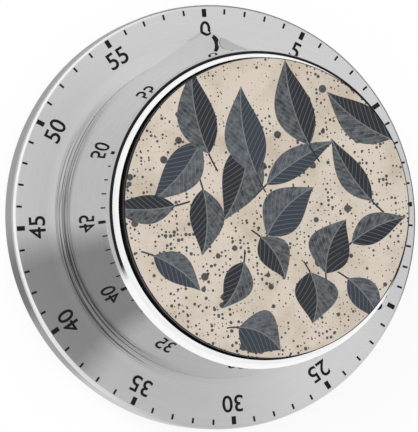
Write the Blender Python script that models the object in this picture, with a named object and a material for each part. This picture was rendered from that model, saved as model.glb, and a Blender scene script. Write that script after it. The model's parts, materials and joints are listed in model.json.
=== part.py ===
"""Mechanical kitchen timer: a steel dial flange on a magnetic back, a mirror-polished
steel knob with a pointer beak, and the wind-up movement with its bell inside.

The timer lies on its back. The origin is the centre of the back face, +Z points out of
the front and +Y points to the zero of the dial. All lengths are in metres.
"""

import math

import bmesh
import bpy
from mathutils import Vector

MM = 0.001

# Facets round a turned piece, by how much it shows
WIDE_SEGMENTS = 56
INNER_SEGMENTS = 36
HOLE_SEGMENTS = 10
PIN_SEGMENTS = 8

# Gaps between pieces
SEAT_GAP = 0.3 * MM
FIT_GAP = 0.1 * MM
LIP_GAP = 0.35 * MM

# Dial flange, stamped from sheet
FLANGE_RADIUS = 39.0 * MM
FLANGE_HEIGHT = 5.5 * MM
FLANGE_SHEET = 0.6 * MM
FLANGE_EDGE_ROUND = 0.9 * MM
COVE_WIDTH = 2.4 * MM
COVE_RISE = 0.85 * MM
COVE_CLEARANCE = 0.6 * MM
LIP_UNDERLAP = 1.4 * MM

# Knob shell, drawn from sheet
KNOB_BASE_RADIUS = 29.6 * MM
KNOB_TOP_RADIUS = 28.0 * MM
KNOB_HEIGHT = 21.8 * MM
KNOB_SHEET = 0.6 * MM
KNOB_LEVELS = 3
BEAK_REACH = 34.3 * MM

# Bezel ring and face plate
BEZEL_HEIGHT = 4.5 * MM
BEZEL_ROUND = 1.3 * MM
BEZEL_LIP_WIDTH = 0.3 * MM
BEZEL_LIP_DROP = 0.1 * MM
BEZEL_LIP_DEPTH = 2.3 * MM
FACE_GROOVE = 0.5 * MM
FACE_THICKNESS = 0.5 * MM
FACE_PROUD = 0.2 * MM

# Knob core, moulded
CORE_WALL = 1.3 * MM
CORE_WEB = 1.5 * MM
CORE_SKIRT_RECESS = 1.6 * MM
HUB_WALL = 2.5 * MM
HUB_BORE_SHORT = 0.4 * MM
RIB_COUNT = 6
RIB_THICKNESS = 1.0 * MM
RIB_HEIGHT = 2.4 * MM

# Base tray and back cover, moulded
TRAY_WALL = 1.2 * MM
TRAY_FLOOR = 1.2 * MM
TRAY_RIM_LIFT = 0.3 * MM
WELL_WALL = 1.2 * MM
WELL_HEIGHT = 3.0 * MM
LIP_REST_WALL = 1.6 * MM
PILLAR_PAD_HEIGHT = 0.6 * MM
PILLAR_PAD_RADIUS = 2.6 * MM
COVER_THICKNESS = 2.0 * MM
COVER_SCREW_COUNT = 3
COVER_SCREW_INSET = 5.6 * MM
COVER_BOSS_WALL = 1.3 * MM
COVER_HEAD_RADIUS = 2.1 * MM
COVER_HEAD_HEIGHT = 0.8 * MM
COVER_SHANK_RADIUS = 1.0 * MM
COVER_SCREW_BITE = 0.7 * MM
MAGNET_COUNT = 3
MAGNET_RADIUS = 6.0 * MM
MAGNET_EDGE = 1.6 * MM
MAGNET_RECESS = 0.3 * MM

# Movement frame: two plates on pillars
PLATE_RADIUS = 22.2 * MM
PLATE_THICKNESS = 1.0 * MM
PLATE_NOTCH_DEPTH = 3.2 * MM
PILLAR_INSET = 3.3 * MM
PILLAR_RADIUS = 1.75 * MM
PILLAR_ANGLES = (20.0, 95.0, -50.0, -130.0)
FRAME_SCREW_HEAD_RADIUS = 1.6 * MM
FRAME_SCREW_HEAD_HEIGHT = 0.8 * MM
FRAME_SCREW_SHANK_RADIUS = 0.9 * MM
FRAME_SCREW_REACH = 4.0 * MM

# Main arbor, its bush and the bell
MAIN_ARBOR_RADIUS = 2.0 * MM
MAIN_PIVOT_RADIUS = 1.2 * MM
ARBOR_FLAT_DEPTH = 0.6 * MM
BUSH_WALL = 1.2 * MM
BUSH_FLANGE_WIDTH = 1.5 * MM
BUSH_FLANGE_HEIGHT = 1.1 * MM
BELL_CLEARANCE = 1.2 * MM
BELL_SHEET = 0.8 * MM
BELL_DEPTH = 5.2 * MM
BELL_SHOULDER = 3.2 * MM
BELL_BEND_SHARE = 0.7
BELL_NUT_WALL = 1.8 * MM
BELL_NUT_HEIGHT = 1.6 * MM
NUT_SIDES = 6
NUT_CLEARANCE = 0.5 * MM

# Gear train: teeth of each wheel and of the pinion that it drives
GREAT_WHEEL_TEETH = 48
SECOND_WHEEL_TEETH = 48
THIRD_WHEEL_TEETH = 40
ESCAPE_WHEEL_TEETH = 20
PINION_LEAVES = 8
GREAT_MODULE = 0.4375 * MM
SECOND_MODULE = 0.375 * MM
THIRD_MODULE = 0.325 * MM
ADDENDUM_SHARE = 0.85
DEDENDUM_SHARE = 1.2
TOOTH_ROOT_SHARE = 0.50
TOOTH_PITCH_SHARE = 0.42
TOOTH_TIP_SHARE = 0.20
SECOND_ARBOR_BEARING = 180.0
THIRD_ARBOR_BEARING = 70.0
ESCAPE_ARBOR_BEARING = 20.0
TRAIN_ARBOR_RADIUS = 0.6 * MM
TRAIN_PIVOT_RADIUS = 0.4 * MM
GREAT_WHEEL_THICKNESS = 1.2 * MM
TRAIN_WHEEL_THICKNESS = 0.7 * MM
TRAIN_WHEEL_GAP = 1.0 * MM
PLATE_CLEARANCE = 1.2 * MM
PINION_OVERHANG = 0.3 * MM
SPOKE_COUNT = 4
SPOKE_WIDTH = 1.3 * MM
WHEEL_RIM = 1.3 * MM
WHEEL_HUB = 1.9 * MM
WINDOW_ARC_STEPS = 3

# Slipping clutch and trip cam on the main arbor
CLUTCH_RADIUS = 5.6 * MM
CLUTCH_SHEET = 0.3 * MM
CLUTCH_DISH = 0.5 * MM
CAM_RADIUS = 3.6 * MM
CAM_LOBE_LIFT = 1.4 * MM
CAM_LOBE_HALF_ANGLE = 14.0
CAM_THICKNESS = 0.8 * MM

# Mainspring
SPRING_STRIP = 0.35 * MM
SPRING_WIDTH = 5.0 * MM
SPRING_LIFT = 0.7 * MM
SPRING_OUTER_RADIUS = 9.2 * MM
SPRING_TURNS = 5.25
SPRING_STEPS_PER_TURN = 15
SPRING_POST_RADIUS = 0.9 * MM
SPRING_POST_ANGLE = -90.0

# Escapement
ESCAPE_TIP_RADIUS = 4.2 * MM
ESCAPE_TOOTH_DEPTH = 1.1 * MM
ESCAPE_TOOTH_LEAN = 0.55
ESCAPE_TOOTH_LAND = 0.12
VERGE_BOSS_WALL = 0.6 * MM
VERGE_CLEARANCE = 0.4 * MM
VERGE_BEARING = -8.0
PALLET_CLEARANCE = 0.45 * MM
PALLET_HALF_ANGLE = 45.0
PALLET_ARM_WIDTH = 0.9 * MM
PALLET_THICKNESS = 0.9 * MM
VERGE_TAIL_GAP = 0.4 * MM
BALANCE_ARM = 6.0 * MM
BALANCE_WEIGHT_RADIUS = 1.4 * MM
BALANCE_WIDTH = 1.1 * MM
BALANCE_THICKNESS = 1.0 * MM

# Striking work
HAMMER_PIVOT_INSET = 1.4 * MM
HAMMER_PIVOT_ANGLE = 129.8
HAMMER_LIFT = 2.7 * MM
HAMMER_ARM_WIDTH = 1.3 * MM
HAMMER_ARM_THICKNESS = 0.9 * MM
HAMMER_HEAD_ANGLE = 159.3
HAMMER_HEAD_RADIUS = 1.0 * MM
HAMMER_HEAD_HEIGHT = 1.4 * MM
HAMMER_BELL_GAP = 1.3 * MM
HAMMER_ROD_RADIUS = 0.6 * MM
STAR_POINTS = 8
STAR_RADIUS = 2.3 * MM
STAR_TOOTH_DEPTH = 0.9 * MM
STAR_THICKNESS = 1.0 * MM
FINGER_GAP = 0.3 * MM
HAMMER_SPRING_WIRE = 0.25 * MM
HAMMER_SPRING_TURNS = 3
HAMMER_SPRING_STEPS = 8

# Heights worked out from the sizes above
COVE_TOP = FLANGE_HEIGHT + COVE_RISE
KNOB_BOTTOM = COVE_TOP + LIP_GAP
KNOB_TOP = KNOB_BOTTOM + KNOB_HEIGHT
BEZEL_BOTTOM = KNOB_TOP + SEAT_GAP
BEZEL_TOP = BEZEL_BOTTOM + BEZEL_HEIGHT
FACE_TOP = BEZEL_TOP + FACE_PROUD
FACE_BOTTOM = FACE_TOP - FACE_THICKNESS
CORE_TOP = FACE_BOTTOM - SEAT_GAP
CORE_WEB_BOTTOM = CORE_TOP - CORE_WEB
CORE_BOTTOM = KNOB_BOTTOM + CORE_SKIRT_RECESS
TRAY_FLOOR_TOP = FLANGE_HEIGHT - FLANGE_SHEET - SEAT_GAP
TRAY_FLOOR_UNDERSIDE = TRAY_FLOOR_TOP - TRAY_FLOOR
COVER_SEAT = COVER_HEAD_HEIGHT + SEAT_GAP
COVER_SCREW_TIP = TRAY_FLOOR_UNDERSIDE + COVER_SCREW_BITE
BACK_PLATE_BOTTOM = TRAY_FLOOR_TOP + PILLAR_PAD_HEIGHT + SEAT_GAP
BACK_PLATE_TOP = BACK_PLATE_BOTTOM + PLATE_THICKNESS
SPRING_BOTTOM = BACK_PLATE_TOP + SPRING_LIFT
SPRING_TOP = SPRING_BOTTOM + SPRING_WIDTH
GREAT_WHEEL_BOTTOM = SPRING_TOP + TRAIN_WHEEL_GAP
GREAT_WHEEL_TOP = GREAT_WHEEL_BOTTOM + GREAT_WHEEL_THICKNESS
SECOND_WHEEL_BOTTOM = GREAT_WHEEL_TOP + TRAIN_WHEEL_GAP
SECOND_WHEEL_TOP = SECOND_WHEEL_BOTTOM + TRAIN_WHEEL_THICKNESS
THIRD_WHEEL_BOTTOM = SECOND_WHEEL_TOP + TRAIN_WHEEL_GAP
THIRD_WHEEL_TOP = THIRD_WHEEL_BOTTOM + TRAIN_WHEEL_THICKNESS
ESCAPE_WHEEL_BOTTOM = THIRD_WHEEL_TOP + TRAIN_WHEEL_GAP
ESCAPE_WHEEL_TOP = ESCAPE_WHEEL_BOTTOM + TRAIN_WHEEL_THICKNESS
CAM_BOTTOM = THIRD_WHEEL_BOTTOM
CAM_TOP = CAM_BOTTOM + CAM_THICKNESS
BALANCE_TOP = CAM_BOTTOM - TRAIN_WHEEL_GAP
BALANCE_BOTTOM = BALANCE_TOP - BALANCE_THICKNESS
HAMMER_BOTTOM = BACK_PLATE_TOP + HAMMER_LIFT
HAMMER_TOP = HAMMER_BOTTOM + HAMMER_ARM_THICKNESS
FRONT_PLATE_BOTTOM = ESCAPE_WHEEL_TOP + PLATE_CLEARANCE
FRONT_PLATE_TOP = FRONT_PLATE_BOTTOM + PLATE_THICKNESS
BUSH_FLANGE_BOTTOM = FRONT_PLATE_TOP + FIT_GAP
BELL_CROWN_BOTTOM = BUSH_FLANGE_BOTTOM + BUSH_FLANGE_HEIGHT + SEAT_GAP
BELL_CROWN_TOP = BELL_CROWN_BOTTOM + BELL_SHEET
BELL_RIM = BELL_CROWN_TOP - BELL_DEPTH
BELL_NUT_BOTTOM = BELL_CROWN_TOP + SEAT_GAP
BELL_NUT_TOP = BELL_NUT_BOTTOM + BELL_NUT_HEIGHT
HUB_BOTTOM = BELL_NUT_TOP + NUT_CLEARANCE
ARBOR_TOP = CORE_WEB_BOTTOM - HUB_BORE_SHORT - SEAT_GAP

# Radii worked out from the sizes above
COVE_TOP_RADIUS = KNOB_BASE_RADIUS + COVE_CLEARANCE
SCALE_INNER_RADIUS = COVE_TOP_RADIUS + COVE_WIDTH
FLANGE_OPENING_RADIUS = KNOB_BASE_RADIUS - LIP_UNDERLAP
TRAY_RADIUS = FLANGE_RADIUS - FLANGE_SHEET - SEAT_GAP
TRAY_INNER_RADIUS = TRAY_RADIUS - TRAY_WALL
COVER_RADIUS = TRAY_INNER_RADIUS - SEAT_GAP
COVER_SCREW_CIRCLE = COVER_RADIUS - COVER_SCREW_INSET
MAGNET_CIRCLE = COVER_RADIUS - MAGNET_EDGE - MAGNET_RADIUS
BEZEL_TOP_RADIUS = KNOB_TOP_RADIUS - BEZEL_ROUND
BEZEL_INNER_RADIUS = BEZEL_TOP_RADIUS - BEZEL_LIP_WIDTH
FACE_RADIUS = BEZEL_INNER_RADIUS - FACE_GROOVE
HUB_RADIUS = MAIN_ARBOR_RADIUS + FIT_GAP + HUB_WALL
BUSH_RADIUS = MAIN_ARBOR_RADIUS + FIT_GAP + BUSH_WALL
BELL_NUT_RADIUS = BUSH_RADIUS + BELL_NUT_WALL
BELL_RADIUS = KNOB_TOP_RADIUS - KNOB_SHEET - SEAT_GAP - CORE_WALL - BELL_CLEARANCE
WELL_RADIUS = PLATE_RADIUS + SEAT_GAP + WELL_WALL
PILLAR_CIRCLE = PLATE_RADIUS - PILLAR_INSET
PILLAR_BORE = FRAME_SCREW_SHANK_RADIUS + FIT_GAP
SPRING_INNER_RADIUS = MAIN_ARBOR_RADIUS + SEAT_GAP + SPRING_STRIP / 2
VERGE_BOSS_RADIUS = TRAIN_ARBOR_RADIUS + FIT_GAP + VERGE_BOSS_WALL
VERGE_DISTANCE = ESCAPE_TIP_RADIUS + VERGE_CLEARANCE + VERGE_BOSS_RADIUS
CAM_LOBE_RADIUS = CAM_RADIUS + CAM_LOBE_LIFT
HAMMER_PIVOT_CIRCLE = PLATE_RADIUS - HAMMER_PIVOT_INSET
HAMMER_HEAD_CIRCLE = BELL_RADIUS - BELL_SHEET - HAMMER_BELL_GAP - HAMMER_HEAD_RADIUS
HAMMER_SPRING_RADIUS = TRAIN_ARBOR_RADIUS + SEAT_GAP + HAMMER_SPRING_WIRE


def polar(radius, degrees, centre=(0.0, 0.0)):
    """Point at this radius and bearing from a centre, in the plane of the dial."""
    angle = math.radians(degrees)
    return (centre[0] + radius * math.cos(angle), centre[1] + radius * math.sin(angle))


def bearing(start, end):
    """Bearing in degrees from one point of the dial plane to another."""
    return math.degrees(math.atan2(end[1] - start[1], end[0] - start[0]))


def span(start, end):
    """Distance between two points of the dial plane."""
    return math.hypot(end[0] - start[0], end[1] - start[1])


# Places of the arbors, from the sum of each pair's pitch radii
MAIN_CENTRE = (0.0, 0.0)
SECOND_CENTRE = polar(
    (GREAT_WHEEL_TEETH + PINION_LEAVES) * GREAT_MODULE / 2, SECOND_ARBOR_BEARING
)
THIRD_CENTRE = polar(
    (SECOND_WHEEL_TEETH + PINION_LEAVES) * SECOND_MODULE / 2,
    THIRD_ARBOR_BEARING,
    SECOND_CENTRE,
)
ESCAPE_CENTRE = polar(
    (THIRD_WHEEL_TEETH + PINION_LEAVES) * THIRD_MODULE / 2,
    ESCAPE_ARBOR_BEARING,
    THIRD_CENTRE,
)
VERGE_CENTRE = polar(VERGE_DISTANCE, VERGE_BEARING, ESCAPE_CENTRE)
HAMMER_CENTRE = polar(HAMMER_PIVOT_CIRCLE, HAMMER_PIVOT_ANGLE)
HAMMER_HEAD_CENTRE = polar(HAMMER_HEAD_CIRCLE, HAMMER_HEAD_ANGLE)
SPRING_POST_CENTRE = polar(
    SPRING_OUTER_RADIUS + SPRING_STRIP / 2 + SEAT_GAP + SPRING_POST_RADIUS,
    SPRING_POST_ANGLE,
)
PILLAR_CENTRES = [polar(PILLAR_CIRCLE, angle) for angle in PILLAR_ANGLES]
TRAIN_CENTRES = [
    SECOND_CENTRE,
    THIRD_CENTRE,
    ESCAPE_CENTRE,
    VERGE_CENTRE,
    HAMMER_CENTRE,
]
MAGNET_CENTRES = [
    polar(MAGNET_CIRCLE, 90.0 + 360.0 * i / MAGNET_COUNT) for i in range(MAGNET_COUNT)
]
COVER_SCREW_CENTRES = [
    polar(COVER_SCREW_CIRCLE, 30.0 + 360.0 * i / COVER_SCREW_COUNT)
    for i in range(COVER_SCREW_COUNT)
]


# Materials


def make_material(name, colour, metallic, roughness):
    """Principled material with a plain colour."""
    material = bpy.data.materials.new(name)
    material.use_nodes = True
    shader = material.node_tree.nodes["Principled BSDF"]
    shader.inputs["Base Color"].default_value = (*colour, 1.0)
    shader.inputs["Metallic"].default_value = metallic
    shader.inputs["Roughness"].default_value = roughness
    return material


FINISHES = {
    "brushed_steel": ((0.62, 0.62, 0.62), 1.0, 0.32),
    "polished_steel": ((0.78, 0.78, 0.79), 1.0, 0.08),
    "zinc_steel": ((0.55, 0.56, 0.58), 1.0, 0.4),
    "spring_steel": ((0.30, 0.31, 0.34), 1.0, 0.35),
    "rolled_brass": ((0.72, 0.53, 0.24), 1.0, 0.3),
    "black_moulding": ((0.02, 0.02, 0.022), 0.0, 0.5),
    "printed_face": ((0.62, 0.55, 0.44), 0.0, 0.35),
    "ferrite": ((0.06, 0.06, 0.065), 0.0, 0.6),
}


# Ways of making a mesh


def add_piece(name, mesh_data, finish, parent, sharp_degrees=30.0):
    """Turn a bmesh into an object with its own material, on the axis of its parent."""
    bmesh.ops.recalc_face_normals(mesh_data, faces=mesh_data.faces)
    mesh = bpy.data.meshes.new(name)
    origin = Vector(parent.location) if parent else Vector((0.0, 0.0, 0.0))
    bmesh.ops.translate(mesh_data, vec=-origin, verts=mesh_data.verts)
    mesh_data.to_mesh(mesh)
    mesh_data.free()
    mesh.shade_smooth()
    mesh.set_sharp_from_angle(angle=math.radians(sharp_degrees))
    piece = bpy.data.objects.new(name, mesh)
    bpy.context.scene.collection.objects.link(piece)
    piece.parent = parent
    colour, metallic, roughness = FINISHES[finish]
    mesh.materials.append(make_material(name, colour, metallic, roughness))
    return piece


def add_copies(name, mesh_data, finish, centres):
    """Copies of one piece, made at the origin, that share its mesh and stand apart."""
    first = add_piece(f"{name}_1", mesh_data, finish, None)
    first.location = (*centres[0], 0.0)
    for i, centre in enumerate(centres[1:], start=2):
        copy = bpy.data.objects.new(f"{name}_{i}", first.data)
        copy.location = (*centre, 0.0)
        bpy.context.scene.collection.objects.link(copy)


def add_axis(name, centre):
    """Empty on the axis that a moving body turns about."""
    axis = bpy.data.objects.new(name, None)
    axis.location = (centre[0], centre[1], 0.0)
    axis.empty_display_size = 5 * MM
    bpy.context.scene.collection.objects.link(axis)
    return axis


def add_tool(name, mesh_data, piece, operation):
    """Hidden solid that a Boolean modifier cuts from a piece or joins to it."""
    bmesh.ops.recalc_face_normals(mesh_data, faces=mesh_data.faces)
    mesh = bpy.data.meshes.new(name)
    mesh_data.to_mesh(mesh)
    mesh_data.free()
    tool = bpy.data.objects.new(name, mesh)
    tool.hide_render = True
    tool.display_type = "WIRE"
    bpy.context.scene.collection.objects.link(tool)
    modifier = piece.modifiers.new(name, "BOOLEAN")
    modifier.operation = operation
    modifier.solver = "EXACT"
    modifier.object = tool
    return tool


def lathe(profile, segments, centre=(0.0, 0.0), mesh_data=None):
    """Turn a closed profile of (radius, height) points about a vertical axis."""
    turned = bmesh.new()
    points = [turned.verts.new((radius, 0.0, height)) for radius, height in profile]
    edges = [
        turned.edges.new((points[i], points[(i + 1) % len(points)]))
        for i in range(len(points))
    ]
    bmesh.ops.spin(
        turned,
        geom=points + edges,
        cent=(0.0, 0.0, 0.0),
        axis=(0.0, 0.0, 1.0),
        angle=2 * math.pi,
        steps=segments,
        use_merge=True,
    )
    bmesh.ops.remove_doubles(turned, verts=turned.verts, dist=0.001 * MM)
    bmesh.ops.recalc_face_normals(turned, faces=turned.faces)
    bmesh.ops.translate(turned, vec=(centre[0], centre[1], 0.0), verts=turned.verts)
    return merged(turned, mesh_data)


def prism(outlines, bottom, top, mesh_data=None):
    """Plate between two heights with the first outline's shape, less the others."""
    plate = bmesh.new()
    edges = []
    for outline in outlines:
        points = [plate.verts.new((x, y, bottom)) for x, y in outline]
        edges += [
            plate.edges.new((points[i], points[(i + 1) % len(points)]))
            for i in range(len(points))
        ]
    bmesh.ops.triangle_fill(
        plate, use_beauty=True, use_dissolve=False, edges=edges, normal=(0, 0, 1)
    )
    grown = bmesh.ops.extrude_face_region(
        plate, geom=list(plate.faces), use_keep_orig=True
    )
    moved = [item for item in grown["geom"] if isinstance(item, bmesh.types.BMVert)]
    bmesh.ops.translate(plate, vec=(0.0, 0.0, top - bottom), verts=moved)
    bmesh.ops.recalc_face_normals(plate, faces=plate.faces)
    return merged(plate, mesh_data)


def merged(piece, mesh_data):
    """Add one closed solid to a bmesh that holds others, or return it alone."""
    if mesh_data is None:
        return piece
    mesh = bpy.data.meshes.new("solid")
    piece.to_mesh(mesh)
    piece.free()
    mesh_data.from_mesh(mesh)
    bpy.data.meshes.remove(mesh)
    return mesh_data


def join_rings(mesh_data, rings):
    """Loft: a band of faces from each ring of vertices to the next."""
    for first, second in zip(rings, rings[1:]):
        for i in range(len(first)):
            following = (i + 1) % len(first)
            mesh_data.faces.new(
                (first[i], first[following], second[following], second[i])
            )


def circle(centre, radius, segments=HOLE_SEGMENTS):
    """Outline of a round hole or disc."""
    return [
        polar(radius, 360.0 * i / segments, centre) for i in range(segments)
    ]


def tube(inner, outer, bottom, top):
    """Profile of a plain ring."""
    return [(outer, bottom), (outer, top), (inner, top), (inner, bottom)]


def rod(radius, bottom, top):
    """Profile of a solid round rod."""
    return [(0.0, bottom), (radius, bottom), (radius, top), (0.0, top)]


def arm(start, end, width, end_width=None):
    """Outline of a straight bar between two points, with square ends."""
    direction = math.radians(bearing(start, end))
    side = Vector((-math.sin(direction), math.cos(direction)))
    first = Vector(start)
    last = Vector(end)
    end_width = width if end_width is None else end_width
    return [
        tuple(first + side * width / 2),
        tuple(first - side * width / 2),
        tuple(last - side * end_width / 2),
        tuple(last + side * end_width / 2),
    ]


# Fixed shell: flange, tray, cover, magnets, screws


def build_dial_flange():
    """Stamped flange: rolled rim, flat scale band, cove and lip under the knob."""
    rim_top = FLANGE_HEIGHT - FLANGE_EDGE_ROUND
    edge_centre = FLANGE_RADIUS - FLANGE_EDGE_ROUND
    cove_width = SCALE_INNER_RADIUS - COVE_TOP_RADIUS
    cove_angle = 2 * math.atan2(COVE_RISE, cove_width)
    cove_radius = cove_width / math.sin(cove_angle)
    cove_centre = FLANGE_HEIGHT + cove_radius
    inner_round = FLANGE_EDGE_ROUND - FLANGE_SHEET

    def cove_point(share, radius):
        angle = cove_angle * share
        return (
            SCALE_INNER_RADIUS - radius * math.sin(angle),
            cove_centre - radius * math.cos(angle),
        )

    diagonal = FLANGE_EDGE_ROUND * math.sqrt(0.5)
    profile = [
        (FLANGE_RADIUS, TRAY_RIM_LIFT),
        (FLANGE_RADIUS, rim_top),
        (edge_centre + diagonal, rim_top + diagonal),
        (edge_centre, FLANGE_HEIGHT),
        (SCALE_INNER_RADIUS, FLANGE_HEIGHT),
        cove_point(0.5, cove_radius),
        cove_point(1.0, cove_radius),
        (FLANGE_OPENING_RADIUS, COVE_TOP),
        (FLANGE_OPENING_RADIUS, COVE_TOP - FLANGE_SHEET),
        cove_point(1.0, cove_radius + FLANGE_SHEET),
        (SCALE_INNER_RADIUS, FLANGE_HEIGHT - FLANGE_SHEET),
        (edge_centre, FLANGE_HEIGHT - FLANGE_SHEET),
        (edge_centre + inner_round, rim_top),
        (edge_centre + inner_round, TRAY_RIM_LIFT),
    ]
    add_piece("dial_flange", lathe(profile, WIDE_SEGMENTS), "brushed_steel", None)


def build_base_tray():
    """Moulded tray under the flange, with the well that centres the movement."""
    lip_rest_outer = COVE_TOP_RADIUS - SEAT_GAP
    lip_rest_inner = lip_rest_outer - LIP_REST_WALL
    lip_rest_top = COVE_TOP - FLANGE_SHEET - SEAT_GAP
    well_top = TRAY_FLOOR_TOP + WELL_HEIGHT
    well_inner = WELL_RADIUS - WELL_WALL
    profile = [
        (TRAY_RADIUS, TRAY_RIM_LIFT),
        (TRAY_RADIUS, TRAY_FLOOR_TOP),
        (lip_rest_outer, TRAY_FLOOR_TOP),
        (lip_rest_outer, lip_rest_top),
        (lip_rest_inner, lip_rest_top),
        (lip_rest_inner, TRAY_FLOOR_TOP),
        (WELL_RADIUS, TRAY_FLOOR_TOP),
        (WELL_RADIUS, well_top),
        (well_inner, well_top),
        (well_inner, TRAY_FLOOR_TOP),
        (0.0, TRAY_FLOOR_TOP),
        (0.0, TRAY_FLOOR_UNDERSIDE),
        (TRAY_INNER_RADIUS, TRAY_FLOOR_UNDERSIDE),
        (TRAY_INNER_RADIUS, TRAY_RIM_LIFT),
    ]
    tray = add_piece("base_tray", lathe(profile, INNER_SEGMENTS), "black_moulding", None)
    added = bmesh.new()
    removed = bmesh.new()
    inside_floor = TRAY_FLOOR_UNDERSIDE + TRAY_FLOOR / 2
    for centre in PILLAR_CENTRES:
        pad = rod(PILLAR_PAD_RADIUS, inside_floor, BACK_PLATE_BOTTOM - SEAT_GAP)
        lathe(pad, HOLE_SEGMENTS, centre, added)
        hole = rod(
            FRAME_SCREW_SHANK_RADIUS + SEAT_GAP,
            TRAY_FLOOR_UNDERSIDE - SEAT_GAP,
            BACK_PLATE_BOTTOM,
        )
        lathe(hole, HOLE_SEGMENTS, centre, removed)
    for centre in COVER_SCREW_CENTRES:
        boss_radius = COVER_SHANK_RADIUS + FIT_GAP + COVER_BOSS_WALL
        boss = rod(boss_radius, COVER_THICKNESS + SEAT_GAP, inside_floor)
        lathe(boss, HOLE_SEGMENTS, centre, added)
        pilot_top = COVER_SCREW_TIP + FIT_GAP
        pilot = rod(COVER_SHANK_RADIUS + FIT_GAP, COVER_THICKNESS, pilot_top)
        lathe(pilot, HOLE_SEGMENTS, centre, removed)
    add_tool("tray_bosses", added, tray, "UNION")
    add_tool("tray_holes", removed, tray, "DIFFERENCE")


def build_back_cover():
    """Moulded cover that the timer rests on, with magnet holes and screw seats."""
    outline = circle(MAIN_CENTRE, COVER_RADIUS, INNER_SEGMENTS)
    magnets = [circle(c, MAGNET_RADIUS + SEAT_GAP, 2 * HOLE_SEGMENTS) for c in MAGNET_CENTRES]
    cover = add_piece(
        "back_cover", prism([outline] + magnets, 0.0, COVER_THICKNESS), "black_moulding", None
    )
    removed = bmesh.new()
    for centre in COVER_SCREW_CENTRES:
        head = COVER_HEAD_RADIUS + SEAT_GAP
        shank = COVER_SHANK_RADIUS + SEAT_GAP
        stepped = [
            (0.0, -SEAT_GAP),
            (head, -SEAT_GAP),
            (head, COVER_SEAT),
            (shank, COVER_SEAT),
            (shank, COVER_THICKNESS + SEAT_GAP),
            (0.0, COVER_THICKNESS + SEAT_GAP),
        ]
        lathe(stepped, HOLE_SEGMENTS, centre, removed)
    add_tool("cover_screw_seats", removed, cover, "DIFFERENCE")


def build_magnets():
    """Round magnets that stand in the cover's holes, just inside the back face."""
    profile = rod(MAGNET_RADIUS, MAGNET_RECESS, TRAY_FLOOR_UNDERSIDE - SEAT_GAP)
    add_copies("magnet", lathe(profile, 2 * HOLE_SEGMENTS), "ferrite", MAGNET_CENTRES)


def screw_profile(head_radius, shank_radius, head_end, seat, tip):
    """Pan-head screw from its head's outer end, over its seat, to its tip."""
    return [
        (0.0, head_end),
        (head_radius, head_end),
        (head_radius, seat),
        (shank_radius, seat),
        (shank_radius, tip),
        (0.0, tip),
    ]


def build_screws():
    """Cover screws, frame screws through the tray, and plate screws at the front."""
    seat = COVER_SEAT - FIT_GAP
    cover_profile = screw_profile(
        COVER_HEAD_RADIUS, COVER_SHANK_RADIUS, seat - COVER_HEAD_HEIGHT, seat, COVER_SCREW_TIP
    )
    add_copies(
        "cover_screw", lathe(cover_profile, PIN_SEGMENTS), "zinc_steel", COVER_SCREW_CENTRES
    )
    rear_seat = TRAY_FLOOR_UNDERSIDE - FIT_GAP
    rear_profile = screw_profile(
        FRAME_SCREW_HEAD_RADIUS,
        FRAME_SCREW_SHANK_RADIUS,
        rear_seat - FRAME_SCREW_HEAD_HEIGHT,
        rear_seat,
        BACK_PLATE_TOP + FRAME_SCREW_REACH,
    )
    front_seat = FRONT_PLATE_TOP + FIT_GAP
    front_profile = screw_profile(
        FRAME_SCREW_HEAD_RADIUS,
        FRAME_SCREW_SHANK_RADIUS,
        front_seat + FRAME_SCREW_HEAD_HEIGHT,
        front_seat,
        FRONT_PLATE_BOTTOM - FRAME_SCREW_REACH,
    )
    add_copies("frame_screw", lathe(rear_profile, PIN_SEGMENTS), "zinc_steel", PILLAR_CENTRES)
    add_copies("plate_screw", lathe(front_profile, PIN_SEGMENTS), "zinc_steel", PILLAR_CENTRES)


# Movement frame


def plate_outline():
    """Round plate with a flat chord where the hammer's head swings past."""
    half = math.degrees(math.acos(1.0 - PLATE_NOTCH_DEPTH / PLATE_RADIUS))
    start = HAMMER_HEAD_ANGLE + half
    sweep = 360.0 - 2 * half
    return [
        polar(PLATE_RADIUS, start + sweep * i / INNER_SEGMENTS)
        for i in range(INNER_SEGMENTS + 1)
    ]


def build_plates():
    """Back and front plates with pivot holes for every arbor."""
    pivots = [circle(c, TRAIN_PIVOT_RADIUS + FIT_GAP, 8) for c in TRAIN_CENTRES]
    screws = [circle(c, FRAME_SCREW_SHANK_RADIUS + SEAT_GAP) for c in PILLAR_CENTRES]
    main_pivot = circle(MAIN_CENTRE, MAIN_PIVOT_RADIUS + FIT_GAP)
    post = circle(SPRING_POST_CENTRE, SPRING_POST_RADIUS - FIT_GAP)
    back = prism(
        [plate_outline(), main_pivot, post] + pivots + screws,
        BACK_PLATE_BOTTOM,
        BACK_PLATE_TOP,
    )
    add_piece("back_plate", back, "zinc_steel", None)
    bush_hole = circle(MAIN_CENTRE, BUSH_RADIUS + FIT_GAP, 2 * HOLE_SEGMENTS)
    front = prism(
        [plate_outline(), bush_hole] + pivots + screws,
        FRONT_PLATE_BOTTOM,
        FRONT_PLATE_TOP,
    )
    add_piece("front_plate", front, "zinc_steel", None)


def build_pillars():
    """Turned pillars, bored for the screws that hold the plates to them."""
    profile = tube(
        PILLAR_BORE, PILLAR_RADIUS, BACK_PLATE_TOP + FIT_GAP, FRONT_PLATE_BOTTOM - FIT_GAP
    )
    add_copies("plate_pillar", lathe(profile, HOLE_SEGMENTS), "zinc_steel", PILLAR_CENTRES)


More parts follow.
